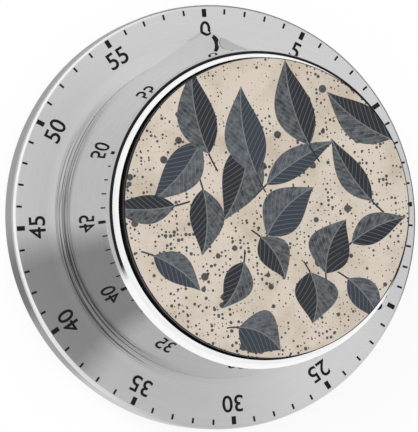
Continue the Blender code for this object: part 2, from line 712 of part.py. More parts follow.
def build_bell():
    """Bush in the front plate, and the bell cup clamped to it by a nut."""
    bore = MAIN_ARBOR_RADIUS + FIT_GAP
    bush = [
        (bore, FRONT_PLATE_BOTTOM),
        (BUSH_RADIUS, FRONT_PLATE_BOTTOM),
        (BUSH_RADIUS, BUSH_FLANGE_BOTTOM),
        (BUSH_RADIUS + BUSH_FLANGE_WIDTH, BUSH_FLANGE_BOTTOM),
        (BUSH_RADIUS + BUSH_FLANGE_WIDTH, BUSH_FLANGE_BOTTOM + BUSH_FLANGE_HEIGHT),
        (BUSH_RADIUS, BUSH_FLANGE_BOTTOM + BUSH_FLANGE_HEIGHT),
        (BUSH_RADIUS, BELL_NUT_TOP),
        (bore, BELL_NUT_TOP),
    ]
    add_piece("arbor_bush", lathe(bush, 2 * HOLE_SEGMENTS), "rolled_brass", None)
    seat = BUSH_RADIUS + FIT_GAP
    shoulder = BELL_RADIUS - BELL_SHOULDER
    inner = BELL_RADIUS - BELL_SHEET
    flare = BELL_SHOULDER * (1 - BELL_BEND_SHARE)
    drop = BELL_DEPTH * (1 - BELL_BEND_SHARE)
    bell = [
        (seat, BELL_CROWN_TOP),
        (shoulder, BELL_CROWN_TOP),
        (BELL_RADIUS - flare, BELL_CROWN_TOP - drop),
        (BELL_RADIUS, BELL_RIM),
        (inner, BELL_RIM),
        (inner - flare, BELL_CROWN_BOTTOM - drop),
        (shoulder - BELL_SHEET / 2, BELL_CROWN_BOTTOM),
        (seat, BELL_CROWN_BOTTOM),
    ]
    add_piece("bell", lathe(bell, INNER_SEGMENTS), "polished_steel", None)
    nut = prism(
        [
            circle(MAIN_CENTRE, BELL_NUT_RADIUS, NUT_SIDES),
            circle(MAIN_CENTRE, seat, 2 * HOLE_SEGMENTS),
        ],
        BELL_NUT_BOTTOM,
        BELL_NUT_TOP,
    )
    add_piece("bell_nut", nut, "rolled_brass", None)


def spring_point(share):
    """Middle of the mainspring's strip, as a share of the way from centre to post."""
    radius = SPRING_INNER_RADIUS + (SPRING_OUTER_RADIUS - SPRING_INNER_RADIUS) * share
    degrees = SPRING_POST_ANGLE - 360.0 * SPRING_TURNS * (1.0 - share)
    return polar(radius, degrees)


def build_mainspring():
    """Flat strip wound in a spiral, and the post that its outer end hooks on."""
    steps = int(SPRING_TURNS * SPRING_STEPS_PER_TURN)
    inner_side = []
    outer_side = []
    for i in range(steps + 1):
        x, y = spring_point(i / steps)
        outward = Vector((x, y)).normalized() * SPRING_STRIP / 2
        inner_side.append((x - outward.x, y - outward.y))
        outer_side.append((x + outward.x, y + outward.y))
    strip = bmesh.new()
    rings = []
    for inner, outer in zip(inner_side, outer_side):
        corners = [
            (*inner, SPRING_BOTTOM),
            (*outer, SPRING_BOTTOM),
            (*outer, SPRING_TOP),
            (*inner, SPRING_TOP),
        ]
        rings.append([strip.verts.new(corner) for corner in corners])
    join_rings(strip, rings)
    strip.faces.new(rings[0])
    strip.faces.new(reversed(rings[-1]))
    add_piece("mainspring", strip, "spring_steel", None)
    post = [
        (0.0, BACK_PLATE_BOTTOM),
        (SPRING_POST_RADIUS - 2 * FIT_GAP, BACK_PLATE_BOTTOM),
        (SPRING_POST_RADIUS - 2 * FIT_GAP, BACK_PLATE_TOP + FIT_GAP),
        (SPRING_POST_RADIUS, BACK_PLATE_TOP + FIT_GAP),
        (SPRING_POST_RADIUS, SPRING_TOP),
        (0.0, SPRING_TOP),
    ]
    add_piece("spring_post", lathe(post, HOLE_SEGMENTS, SPRING_POST_CENTRE), "zinc_steel", None)


# Gears


def gear_outline(centre, teeth, module, tooth_bearing, with_pitch_points):
    """Toothed outline with a tooth centred on the given bearing."""
    pitch_radius = module * teeth / 2
    tip_radius = pitch_radius + ADDENDUM_SHARE * module
    root_radius = pitch_radius - DEDENDUM_SHARE * module
    half_pitch = 180.0 / teeth
    flank = [(root_radius, TOOTH_ROOT_SHARE), (tip_radius, TOOTH_TIP_SHARE)]
    if with_pitch_points:
        flank.insert(1, (pitch_radius, TOOTH_PITCH_SHARE))
    outline = []
    for i in range(teeth):
        middle = tooth_bearing + 2 * half_pitch * i
        outline += [polar(r, middle - half_pitch * s, centre) for r, s in flank]
        outline += [polar(r, middle + half_pitch * s, centre) for r, s in reversed(flank)]
    return outline


def wheel_windows(centre, rim_radius, hub_radius, turned_by):
    """Openings between the spokes of a crossed-out wheel."""
    windows = []
    for i in range(SPOKE_COUNT):
        middle = turned_by + 360.0 * (i + 0.5) / SPOKE_COUNT
        outline = []
        for radius, direction in ((rim_radius, 1), (hub_radius, -1)):
            trim = math.degrees(math.asin(SPOKE_WIDTH / 2 / radius))
            half = 180.0 / SPOKE_COUNT - trim
            for j in range(WINDOW_ARC_STEPS + 1):
                step = direction * (2 * j / WINDOW_ARC_STEPS - 1)
                outline.append(polar(radius, middle + half * step, centre))
        windows.append(outline)
    return windows


def wheel(centre, teeth, module, tooth_bearing, bore, bottom, thickness):
    """Flat toothed wheel with a bore for its arbor and windows between spokes."""
    rim = module * teeth / 2 - DEDENDUM_SHARE * module - WHEEL_RIM
    outlines = [
        gear_outline(centre, teeth, module, tooth_bearing, False),
        circle(centre, bore, 2 * HOLE_SEGMENTS),
    ]
    outlines += wheel_windows(centre, rim, bore + WHEEL_HUB, tooth_bearing)
    return prism(outlines, bottom, bottom + thickness)


def arbor_stem(centre):
    """Plain arbor between the plates, with a pivot at each end."""
    shoulder_bottom = BACK_PLATE_TOP + FIT_GAP
    shoulder_top = FRONT_PLATE_BOTTOM - FIT_GAP
    stem = [
        (0.0, BACK_PLATE_BOTTOM),
        (TRAIN_PIVOT_RADIUS, BACK_PLATE_BOTTOM),
        (TRAIN_PIVOT_RADIUS, shoulder_bottom),
        (TRAIN_ARBOR_RADIUS, shoulder_bottom),
        (TRAIN_ARBOR_RADIUS, shoulder_top),
        (TRAIN_PIVOT_RADIUS, shoulder_top),
        (TRAIN_PIVOT_RADIUS, FRONT_PLATE_TOP),
        (0.0, FRONT_PLATE_TOP),
    ]
    return lathe(stem, PIN_SEGMENTS, centre)


def build_pinion(name, centre, module, gap_bearing, wheel_bottom, wheel_thickness, axis):
    """Arbor in one piece with its leaves, a little longer than the teeth driving them."""
    tooth_bearing = gap_bearing + 180.0 / PINION_LEAVES
    leaves = gear_outline(centre, PINION_LEAVES, module, tooth_bearing, True)
    leaf_bottom = wheel_bottom - PINION_OVERHANG
    leaf_top = wheel_bottom + wheel_thickness + PINION_OVERHANG
    solids = [prism([leaves], leaf_bottom, leaf_top), arbor_stem(centre)]
    joined(name, solids, "zinc_steel", axis)


def build_train():
    """Second, third and escape arbors with their wheels, pinions and strike star."""
    second = add_axis("second_arbor_axis", SECOND_CENTRE)
    third = add_axis("third_arbor_axis", THIRD_CENTRE)
    escape = add_axis("escape_arbor_axis", ESCAPE_CENTRE)
    bore = TRAIN_ARBOR_RADIUS + FIT_GAP
    build_pinion(
        "second_pinion",
        SECOND_CENTRE,
        GREAT_MODULE,
        bearing(SECOND_CENTRE, MAIN_CENTRE),
        GREAT_WHEEL_BOTTOM,
        GREAT_WHEEL_THICKNESS,
        second,
    )
    build_pinion(
        "third_pinion",
        THIRD_CENTRE,
        SECOND_MODULE,
        bearing(THIRD_CENTRE, SECOND_CENTRE),
        SECOND_WHEEL_BOTTOM,
        TRAIN_WHEEL_THICKNESS,
        third,
    )
    build_pinion(
        "escape_pinion",
        ESCAPE_CENTRE,
        THIRD_MODULE,
        bearing(ESCAPE_CENTRE, THIRD_CENTRE),
        THIRD_WHEEL_BOTTOM,
        TRAIN_WHEEL_THICKNESS,
        escape,
    )
    second_wheel = wheel(
        SECOND_CENTRE,
        SECOND_WHEEL_TEETH,
        SECOND_MODULE,
        bearing(SECOND_CENTRE, THIRD_CENTRE),
        bore,
        SECOND_WHEEL_BOTTOM,
        TRAIN_WHEEL_THICKNESS,
    )
    add_piece("second_wheel", second_wheel, "rolled_brass", second)
    third_wheel = wheel(
        THIRD_CENTRE,
        THIRD_WHEEL_TEETH,
        THIRD_MODULE,
        bearing(THIRD_CENTRE, ESCAPE_CENTRE),
        bore,
        THIRD_WHEEL_BOTTOM,
        TRAIN_WHEEL_THICKNESS,
    )
    add_piece("third_wheel", third_wheel, "rolled_brass", third)
    star = []
    for i in range(STAR_POINTS):
        star.append(polar(STAR_RADIUS, 360.0 * i / STAR_POINTS, THIRD_CENTRE))
        between = 360.0 * (i + 0.5) / STAR_POINTS
        star.append(polar(STAR_RADIUS - STAR_TOOTH_DEPTH, between, THIRD_CENTRE))
    strike_star = prism(
        [star, circle(THIRD_CENTRE, bore)], HAMMER_BOTTOM, HAMMER_BOTTOM + STAR_THICKNESS
    )
    add_piece("strike_star", strike_star, "zinc_steel", third)
    escape_outline = []
    pitch = 360.0 / ESCAPE_WHEEL_TEETH
    for i in range(ESCAPE_WHEEL_TEETH):
        start = pitch * i
        root_radius = ESCAPE_TIP_RADIUS - ESCAPE_TOOTH_DEPTH
        escape_outline.append(polar(root_radius, start, ESCAPE_CENTRE))
        lean = start + pitch * ESCAPE_TOOTH_LEAN
        escape_outline.append(polar(ESCAPE_TIP_RADIUS, lean, ESCAPE_CENTRE))
        land = lean + pitch * ESCAPE_TOOTH_LAND
        escape_outline.append(polar(ESCAPE_TIP_RADIUS, land, ESCAPE_CENTRE))
    escape_wheel = prism(
        [escape_outline, circle(ESCAPE_CENTRE, bore)],
        ESCAPE_WHEEL_BOTTOM,
        ESCAPE_WHEEL_TOP,
    )
    add_piece("escape_wheel", escape_wheel, "rolled_brass", escape)


def joined(name, solids, finish, parent):
    """One piece from several solids that cross each other, joined by Booleans."""
    piece = add_piece(name, solids[0], finish, parent)
    for i, solid in enumerate(solids[1:], start=1):
        add_tool(f"{name}_part_{i}", solid, piece, "UNION")
    return piece


def build_verge():
    """Verge arbor, pallet lever with its tail, and the balance bar."""
    axis = add_axis("verge_axis", VERGE_CENTRE)
    add_piece("verge_arbor", arbor_stem(VERGE_CENTRE), "zinc_steel", axis)
    to_verge = bearing(ESCAPE_CENTRE, VERGE_CENTRE)
    bottom = ESCAPE_WHEEL_BOTTOM - FIT_GAP
    top = bottom + PALLET_THICKNESS
    bore = TRAIN_ARBOR_RADIUS + FIT_GAP
    boss = VERGE_BOSS_RADIUS
    ring = lathe(tube(bore, boss, CAM_BOTTOM, top), HOLE_SEGMENTS, VERGE_CENTRE)
    solids = [ring]
    for side in (-1, 1):
        pallet_radius = ESCAPE_TIP_RADIUS + PALLET_CLEARANCE + PALLET_ARM_WIDTH / 2
        tip = polar(pallet_radius, to_verge + side * PALLET_HALF_ANGLE, ESCAPE_CENTRE)
        root = polar((bore + boss) / 2, bearing(VERGE_CENTRE, tip), VERGE_CENTRE)
        solids.append(prism([arm(root, tip, PALLET_ARM_WIDTH)], bottom, top))
    to_main = bearing(VERGE_CENTRE, MAIN_CENTRE)
    tail_length = span(VERGE_CENTRE, MAIN_CENTRE) - CAM_LOBE_RADIUS - VERGE_TAIL_GAP
    tail_root = polar((bore + boss) / 2, to_main, VERGE_CENTRE)
    tail_tip = polar(tail_length, to_main, VERGE_CENTRE)
    tail = arm(tail_root, tail_tip, PALLET_ARM_WIDTH, PALLET_ARM_WIDTH / 2)
    solids.append(prism([tail], CAM_BOTTOM, CAM_TOP))
    joined("pallet_lever", solids, "zinc_steel", axis)
    along = to_verge + 90.0
    hub = lathe(tube(bore, boss, BALANCE_BOTTOM, BALANCE_TOP), HOLE_SEGMENTS, VERGE_CENTRE)
    bar_solids = [hub]
    for side in (-1, 1):
        end = polar(side * BALANCE_ARM, along, VERGE_CENTRE)
        root = polar(side * (bore + boss) / 2, along, VERGE_CENTRE)
        bar_solids.append(prism([arm(root, end, BALANCE_WIDTH)], BALANCE_BOTTOM, BALANCE_TOP))
        weight = rod(BALANCE_WEIGHT_RADIUS, BALANCE_BOTTOM, BALANCE_TOP)
        bar_solids.append(lathe(weight, HOLE_SEGMENTS, end))
    joined("balance_bar", bar_solids, "zinc_steel", axis)


def build_hammer():
    """Hammer arbor, the hammer with its finger and head, and its wire spring."""
    axis = add_axis("hammer_axis", HAMMER_CENTRE)
    add_piece("hammer_arbor", arbor_stem(HAMMER_CENTRE), "zinc_steel", axis)
    bore = TRAIN_ARBOR_RADIUS + FIT_GAP
    boss = VERGE_BOSS_RADIUS
    ring = lathe(tube(bore, boss, HAMMER_BOTTOM, HAMMER_TOP), HOLE_SEGMENTS, HAMMER_CENTRE)
    ring_middle = (bore + boss) / 2
    head_root = polar(ring_middle, bearing(HAMMER_CENTRE, HAMMER_HEAD_CENTRE), HAMMER_CENTRE)
    beam_outline = arm(head_root, HAMMER_HEAD_CENTRE, HAMMER_ARM_WIDTH)
    beam = prism([beam_outline], HAMMER_BOTTOM, HAMMER_TOP)
    finger_bearing = bearing(HAMMER_CENTRE, THIRD_CENTRE)
    finger_length = span(HAMMER_CENTRE, THIRD_CENTRE) - STAR_RADIUS - FINGER_GAP
    finger_root = polar(ring_middle, finger_bearing, HAMMER_CENTRE)
    finger_tip = polar(finger_length, finger_bearing, HAMMER_CENTRE)
    finger = arm(finger_root, finger_tip, HAMMER_ARM_WIDTH, HAMMER_ARM_WIDTH / 2)
    finger_solid = prism([finger], HAMMER_BOTTOM, HAMMER_TOP)
    head_bottom = BELL_RIM + SEAT_GAP
    head = [
        (0.0, HAMMER_BOTTOM),
        (HAMMER_ROD_RADIUS, HAMMER_BOTTOM),
        (HAMMER_ROD_RADIUS, head_bottom),
        (HAMMER_HEAD_RADIUS, head_bottom),
        (HAMMER_HEAD_RADIUS, head_bottom + HAMMER_HEAD_HEIGHT),
        (0.0, head_bottom + HAMMER_HEAD_HEIGHT),
    ]
    head_solid = lathe(head, HOLE_SEGMENTS, HAMMER_HEAD_CENTRE)
    joined("hammer", [ring, beam, finger_solid, head_solid], "zinc_steel", axis)
    build_hammer_spring(HAMMER_TOP + SEAT_GAP)


def build_hammer_spring(bottom):
    """Small coil of wire round the hammer's arbor."""
    data = bpy.data.curves.new("hammer_spring", "CURVE")
    data.dimensions = "3D"
    data.bevel_depth = HAMMER_SPRING_WIRE
    data.bevel_resolution = 1
    data.use_fill_caps = True
    spline = data.splines.new("POLY")
    count = HAMMER_SPRING_TURNS * HAMMER_SPRING_STEPS + 1
    spline.points.add(count - 1)
    rise = 2 * HAMMER_SPRING_WIRE + SEAT_GAP
    for i in range(count):
        turn = i / HAMMER_SPRING_STEPS
        x, y = polar(HAMMER_SPRING_RADIUS, 360.0 * turn, HAMMER_CENTRE)
        z = bottom + HAMMER_SPRING_WIRE + rise * turn
        spline.points[i].co = (x, y, z, 1.0)
    piece = bpy.data.objects.new("hammer_spring", data)
    bpy.context.scene.collection.objects.link(piece)
    colour, metallic, roughness = FINISHES["spring_steel"]
    data.materials.append(make_material("hammer_spring", colour, metallic, roughness))


# Knob and what turns with it


def knob_radius(height):
    """Radius of the knob's round neck at a height."""
    share = (height - KNOB_BOTTOM) / KNOB_HEIGHT
    return KNOB_BASE_RADIUS + (KNOB_TOP_RADIUS - KNOB_BASE_RADIUS) * share


def beak_radius(height):
    """Distance of the beak's ridge from the axis: it dies into the neck at the top."""
    share = (height - KNOB_BOTTOM) / KNOB_HEIGHT
    return BEAK_REACH + (KNOB_TOP_RADIUS - BEAK_REACH) * share


def neck_section(height, inset):
    """Outline of the knob at a height: a circle with two tangents to the beak."""
    radius = knob_radius(height)
    ratio = min(1.0, radius / beak_radius(height))
    tangent = math.acos(ratio)
    points = []
    for i in range(WIDE_SEGMENTS):
        angle = 2 * math.pi * i / WIDE_SEGMENTS
        off_ridge = abs((angle + math.pi) % (2 * math.pi) - math.pi)
        reach = (radius - inset) / math.cos(max(0.0, tangent - off_ridge))
        points.append((-reach * math.sin(angle), reach * math.cos(angle), height))
    return points


def build_knob_shell():
    """Drawn shell: sections lofted from the beaked base to the round top."""
    shell = bmesh.new()
    heights = [KNOB_BOTTOM + KNOB_HEIGHT * i / (KNOB_LEVELS - 1) for i in range(KNOB_LEVELS)]
    loops = [neck_section(height, 0.0) for height in heights]
    loops += [neck_section(height, KNOB_SHEET) for height in reversed(heights)]
    rings = [[shell.verts.new(point) for point in loop] for loop in loops]
    join_rings(shell, rings + rings[:1])
    return shell


def build_bezel_ring():
    """Polished ring with a rounded front that closes the shell round the face."""
    width = KNOB_TOP_RADIUS - BEZEL_TOP_RADIUS
    profile = []
    for degrees in (0.0, 38.0, 68.0, 90.0):
        angle = math.radians(degrees)
        radius = BEZEL_TOP_RADIUS + width * math.cos(angle)
        profile.append((radius, BEZEL_BOTTOM + BEZEL_HEIGHT * math.sin(angle)))
    profile += [
        (BEZEL_INNER_RADIUS, BEZEL_TOP - BEZEL_LIP_DROP),
        (BEZEL_INNER_RADIUS, BEZEL_TOP - BEZEL_LIP_DEPTH),
        (KNOB_TOP_RADIUS - KNOB_SHEET, BEZEL_BOTTOM),
    ]
    return lathe(profile, WIDE_SEGMENTS)


def build_knob_core(axis):
    """Moulded core: web under the face, skirt inside the shell, ribs and hub."""
    hidden = KNOB_SHEET + SEAT_GAP
    top_radius = BEZEL_INNER_RADIUS - SEAT_GAP
    shoulder = knob_radius(KNOB_TOP) - hidden
    ledge = BEZEL_TOP - BEZEL_LIP_DEPTH - SEAT_GAP
    inner_top = min(shoulder, top_radius) - CORE_WALL
    profile = [
        (knob_radius(CORE_BOTTOM) - hidden, CORE_BOTTOM),
        (shoulder, KNOB_TOP),
        (top_radius, ledge),
        (top_radius, CORE_TOP),
        (0.0, CORE_TOP),
        (0.0, HUB_BOTTOM),
        (HUB_RADIUS, HUB_BOTTOM),
        (HUB_RADIUS, CORE_WEB_BOTTOM),
        (inner_top, CORE_WEB_BOTTOM),
        (knob_radius(CORE_BOTTOM) - hidden - CORE_WALL, CORE_BOTTOM),
    ]
    core = add_piece("knob_core", lathe(profile, INNER_SEGMENTS), "black_moulding", axis)
    ribs = bmesh.new()
    rib_start = HUB_RADIUS - CORE_WALL / 2
    rib_end = inner_top + CORE_WALL / 2
    for i in range(RIB_COUNT):
        degrees = 360.0 * (i + 0.5) / RIB_COUNT
        outline = arm(polar(rib_start, degrees), polar(rib_end, degrees), RIB_THICKNESS)
        prism([outline], CORE_WEB_BOTTOM - RIB_HEIGHT, CORE_WEB_BOTTOM + CORE_WEB / 2, ribs)
    add_tool("core_ribs", ribs, core, "UNION")
    bore = prism(
        [flatted_circle(MAIN_ARBOR_RADIUS + FIT_GAP, ARBOR_FLAT_DEPTH)],
        HUB_BOTTOM - SEAT_GAP,
        ARBOR_TOP + SEAT_GAP,
    )
    add_tool("hub_bore", bore, core, "DIFFERENCE")


def flatted_circle(radius, flat_depth):
    """Round outline with one flat, as on the arbor's driving end."""
    limit = radius - flat_depth
    half = math.degrees(math.acos(limit / radius))
    sweep = 360.0 - 2 * half
    steps = 2 * HOLE_SEGMENTS
    return [polar(radius, half + sweep * i / steps) for i in range(steps + 1)]


def build_main_arbor(axis):
    """Main arbor: lower pivot, body, and a flatted end that drives the knob."""
    flat_start = HUB_BOTTOM + SEAT_GAP
    profile = [
        (0.0, TRAY_FLOOR_TOP + SEAT_GAP),
        (MAIN_PIVOT_RADIUS, TRAY_FLOOR_TOP + SEAT_GAP),
        (MAIN_PIVOT_RADIUS, BACK_PLATE_TOP + FIT_GAP),
        (MAIN_ARBOR_RADIUS, BACK_PLATE_TOP + FIT_GAP),
        (MAIN_ARBOR_RADIUS, ARBOR_TOP),
        (0.0, ARBOR_TOP),
    ]
    arbor = add_piece("main_arbor", lathe(profile, 2 * HOLE_SEGMENTS), "zinc_steel", axis)
    outer = 2 * MAIN_ARBOR_RADIUS
    flat_face = MAIN_ARBOR_RADIUS - ARBOR_FLAT_DEPTH
    block = [(flat_face, -outer), (outer, -outer), (outer, outer), (flat_face, outer)]
    cut = prism([block], HUB_BOTTOM - SEAT_GAP, ARBOR_TOP + SEAT_GAP)
    add_tool("arbor_flat", cut, arbor, "DIFFERENCE")


def build_clutch_and_cam(axis):
    """Dished clutch washer that grips the great wheel, and the trip cam."""
    bore = MAIN_ARBOR_RADIUS + FIT_GAP
    rim = GREAT_WHEEL_TOP + FIT_GAP
    washer = [
        (CLUTCH_RADIUS, rim),
        (CLUTCH_RADIUS, rim + CLUTCH_SHEET),
        (bore, rim + CLUTCH_DISH + CLUTCH_SHEET),
        (bore, rim + CLUTCH_DISH),
    ]
    add_piece("clutch_washer", lathe(washer, 2 * HOLE_SEGMENTS), "spring_steel", axis)
    lobe_bearing = bearing(MAIN_CENTRE, VERGE_CENTRE)
    outline = []
    for i in range(2 * HOLE_SEGMENTS):
        degrees = 360.0 * i / (2 * HOLE_SEGMENTS)
        off_lobe = abs((degrees - lobe_bearing + 180.0) % 360.0 - 180.0)
        on_lobe = off_lobe <= CAM_LOBE_HALF_ANGLE
        outline.append(polar(CAM_LOBE_RADIUS if on_lobe else CAM_RADIUS, degrees))
    cam = prism(
        [outline, circle(MAIN_CENTRE, bore, 2 * HOLE_SEGMENTS)],
        CAM_BOTTOM,
        CAM_TOP,
    )
    add_piece("trip_cam", cam, "rolled_brass", axis)


def build_knob():
    """Everything that turns with the knob."""
    axis = add_axis("knob_axis", MAIN_CENTRE)
    add_piece("knob_shell", build_knob_shell(), "polished_steel", axis)
    add_piece("bezel_ring", build_bezel_ring(), "polished_steel", axis)
    face = lathe(rod(FACE_RADIUS, FACE_BOTTOM, FACE_TOP), WIDE_SEGMENTS)
    add_piece("face_plate", face, "printed_face", axis)
    build_knob_core(axis)
    build_main_arbor(axis)
    great_wheel = wheel(
        MAIN_CENTRE,
        GREAT_WHEEL_TEETH,
        GREAT_MODULE,
        bearing(MAIN_CENTRE, SECOND_CENTRE),
        MAIN_ARBOR_RADIUS + FIT_GAP,
        GREAT_WHEEL_BOTTOM,
        GREAT_WHEEL_THICKNESS,
    )
    add_piece("great_wheel", great_wheel, "rolled_brass", axis)
    build_clutch_and_cam(axis)


def main():
    for old in list(bpy.data.objects):
        bpy.data.objects.remove(old, do_unlink=True)
    build_dial_flange()
    build_base_tray()
    build_back_cover()
    build_magnets()
    build_screws()
    build_plates()
    build_pillars()
    build_bell()
    build_mainspring()
    build_knob()
    build_train()
    build_verge()
    build_hammer()


main()
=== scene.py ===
"""Dressed model of a wind-up kitchen timer with a steel minute flange and a polished knob.

The timer lies on its magnets with its face up, and sizes are in metres. Pieces that show get
full meshes in the place of their solids. The movement's solids stay and get their finishes.
"""

import json
import logging
import math
from dataclasses import dataclass, field
from enum import Enum
from typing import Any, Iterable, Sequence

import bmesh
import bpy
from mathutils import Matrix, Vector

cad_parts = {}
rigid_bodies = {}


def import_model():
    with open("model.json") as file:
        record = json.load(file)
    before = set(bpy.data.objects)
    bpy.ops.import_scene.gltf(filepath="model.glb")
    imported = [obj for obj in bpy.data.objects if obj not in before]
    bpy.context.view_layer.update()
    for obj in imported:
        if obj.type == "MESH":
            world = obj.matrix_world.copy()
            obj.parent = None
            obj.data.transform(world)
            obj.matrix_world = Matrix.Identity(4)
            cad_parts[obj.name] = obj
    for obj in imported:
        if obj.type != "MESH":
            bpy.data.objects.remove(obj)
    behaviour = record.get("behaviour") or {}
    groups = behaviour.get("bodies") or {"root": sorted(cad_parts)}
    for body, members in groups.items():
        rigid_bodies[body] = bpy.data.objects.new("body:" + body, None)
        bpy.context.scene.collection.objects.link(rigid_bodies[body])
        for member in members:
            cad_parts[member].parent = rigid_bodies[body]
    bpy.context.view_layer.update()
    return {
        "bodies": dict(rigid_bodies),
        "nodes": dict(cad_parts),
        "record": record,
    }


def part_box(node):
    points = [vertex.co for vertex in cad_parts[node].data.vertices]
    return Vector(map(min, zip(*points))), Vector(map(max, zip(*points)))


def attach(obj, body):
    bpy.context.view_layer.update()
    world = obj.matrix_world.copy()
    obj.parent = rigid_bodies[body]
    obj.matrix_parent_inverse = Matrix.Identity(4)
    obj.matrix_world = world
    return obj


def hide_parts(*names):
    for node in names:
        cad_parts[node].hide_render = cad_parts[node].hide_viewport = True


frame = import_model()

LOG = logging.getLogger("timer")
MM = 0.001
FULL_TURN = 2 * math.pi
MINUTES = 60
# Points nearer than these are taken to be on the axis, or to be one point.
ON_AXIS = 1e-9
MERGED = 1e-7

Point = tuple[float, float]
Corner = tuple[float, float, float]
Colour = tuple[float, float, float, float]
Node = bpy.types.Node
Piece = bpy.types.Object
Shape = bmesh.types.BMesh
Socket = bpy.types.NodeSocket
Tree = bpy.types.NodeTree

# Settings that many nodes share.
SOFT_STEP = {"interpolation_type": "SMOOTHSTEP"}
IN_COLOUR = {"data_type": "RGBA"}
WHITE: Colour = (1.0, 1.0, 1.0, 1.0)


class Body(Enum):
    """Bodies of the model that dressed pieces ride on."""

    CASE = "case"
    KNOB = "knob"


class Slot(Enum):
    """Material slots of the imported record."""

    FLANGE = "flange_steel"
    KNOB = "knob_steel"
    BEZEL = "bezel_steel"
    FACE = "face_print"
    MOULDING = "black_moulding"
    FERRITE = "ferrite"
    ZINC = "zinc_steel"
    BELL = "bell_steel"
    SPRING = "spring_steel"
    BRASS = "brass"


class Recess(Enum):
    """Driver recess: its reach over the head's radius, and its floor's size over its mouth's."""

    CROSS = (0.62, 0.55)
    SLOT = (1.4, 1.0)


def numbered(stem: str, count: int) -> tuple[str, ...]:
    """Give the names of nodes that are numbered from one."""
    return tuple(f"{stem}_{number}" for number in range(1, count + 1))


MAGNETS = numbered("magnet", 3)
COVER_SCREWS = numbered("cover_screw", 3)
FRAME_SCREWS = numbered("frame_screw", 4)
PLATE_SCREWS = numbered("plate_screw", 4)


# Colours and nodes


def linear(colour: str) -> Colour:
    """Turn an sRGB hex colour to linear by the standard's curve.

    Args:
        colour: six hex digits after a hash sign.

    Returns:
        Red, green, blue and an alpha of one.
    """
    parts = [int(colour[place : place + 2], 16) / 255 for place in (1, 3, 5)]
    red, green, blue = (
        part / 12.92 if part <= 0.04045 else ((part + 0.055) / 1.055) ** 2.4 for part in parts
    )
    return red, green, blue, 1.0


def add_node(
    tree: Tree,
    kind: str,
    settings: dict[str, Any] | None = None,
    inputs: dict[str | int, Any] | None = None,
) -> Node:
    """Add a node with its settings and what goes into its sockets.

    Args:
        tree: the node tree that takes it.
        kind: the node's type name.
        settings: properties by name.
        inputs: for a socket's name or number, an output socket to link or a plain value.

    Returns:
        The new node.
    """
    node = tree.nodes.new(kind)
    for name, value in (settings or {}).items():
        setattr(node, name, value)
    for key, value in (inputs or {}).items():
        if isinstance(value, Socket):
            tree.links.new(value, node.inputs[key])
        else:
            node.inputs[key].default_value = value
    return node


# Finishes


@dataclass(frozen=True)
class Finish:
    """A material's plain values, with a detail method for what its surface shows.

    A pattern's coordinates are millimetres on the piece, and so are its sizes.
    """

    name: str
    colour: str
    roughness: float
    metallic: float = 0.0
    ior: float = 1.5

    def material(self) -> bpy.types.Material:
        """Make the material, or find it when it is made already.

        Returns:
            The one material of this finish.
        """
        made = bpy.data.materials.get(self.name)
        if made is not None:
            return made
        made = bpy.data.materials.new(self.name)
        made.use_nodes = True
        tree = made.node_tree
        tree.nodes.clear()
        plain = {
            "Base Color": linear(self.colour),
            "Roughness": self.roughness,
            "Metallic": self.metallic,
            "IOR": self.ior,
        }
        shader = add_node(tree, "ShaderNodeBsdfPrincipled", None, plain)
        add_node(tree, "ShaderNodeOutputMaterial", None, {"Surface": shader.outputs[0]})
        metres = add_node(tree, "ShaderNodeTexCoord").outputs["Object"]
        place = add_node(
            tree, "ShaderNodeVectorMath", {"operation": "SCALE"}, {0: metres, "Scale": 1 / MM}
        ).outputs[0]
        self.detail(tree, shader, place)
        return made

    def detail(self, tree: Tree, shader: Node, place: Socket) -> None:
        """Add the surface's pattern, which differs from one kind of finish to the next.

        Args:
            tree: the material's node tree.
            shader: its Principled shader.
            place: position on the piece in millimetres.
        """
        raise NotImplementedError

    def spread(
        self, tree: Tree, shader: Node, factor: Socket, other_colour: str, other_roughness: float
    ) -> Socket:
        """Let a pattern move the colour and the roughness towards other values.

        Args:
            tree: the material's node tree.
            shader: its Principled shader.
            factor: the pattern, from nought to one.
            other_colour: hex colour where the pattern is one.
            other_roughness: roughness where the pattern is one.

        Returns:
            The colour, which more can be laid over.
        """
        shades = {0: factor, 6: linear(self.colour), 7: linear(other_colour)}
        colour = add_node(tree, "ShaderNodeMix", IN_COLOUR, shades).outputs[2]
        levels = {0: factor, 2: self.roughness, 3: other_roughness}
        rough = add_node(tree, "ShaderNodeMix", None, levels).outputs[0]
        tree.links.new(colour, shader.inputs["Base Color"])
        tree.links.new(rough, shader.inputs["Roughness"])
        return colour

    def from_axis(self, tree: Tree, place: Socket) -> tuple[Socket, Socket]:
        """Measure a place from the upright axis of the timer.

        Args:
            tree: the material's node tree.
            place: position on the piece in millimetres.

        Returns:
            The offset from the axis, and its length.
        """
        level = {0: place, 1: (1.0, 1.0, 0.0)}
        offset = add_node(tree, "ShaderNodeVectorMath", {"operation": "MULTIPLY"}, level).outputs[0]
        radius = add_node(
            tree, "ShaderNodeVectorMath", {"operation": "LENGTH"}, {0: offset}
        ).outputs["Value"]
        return offset, radius


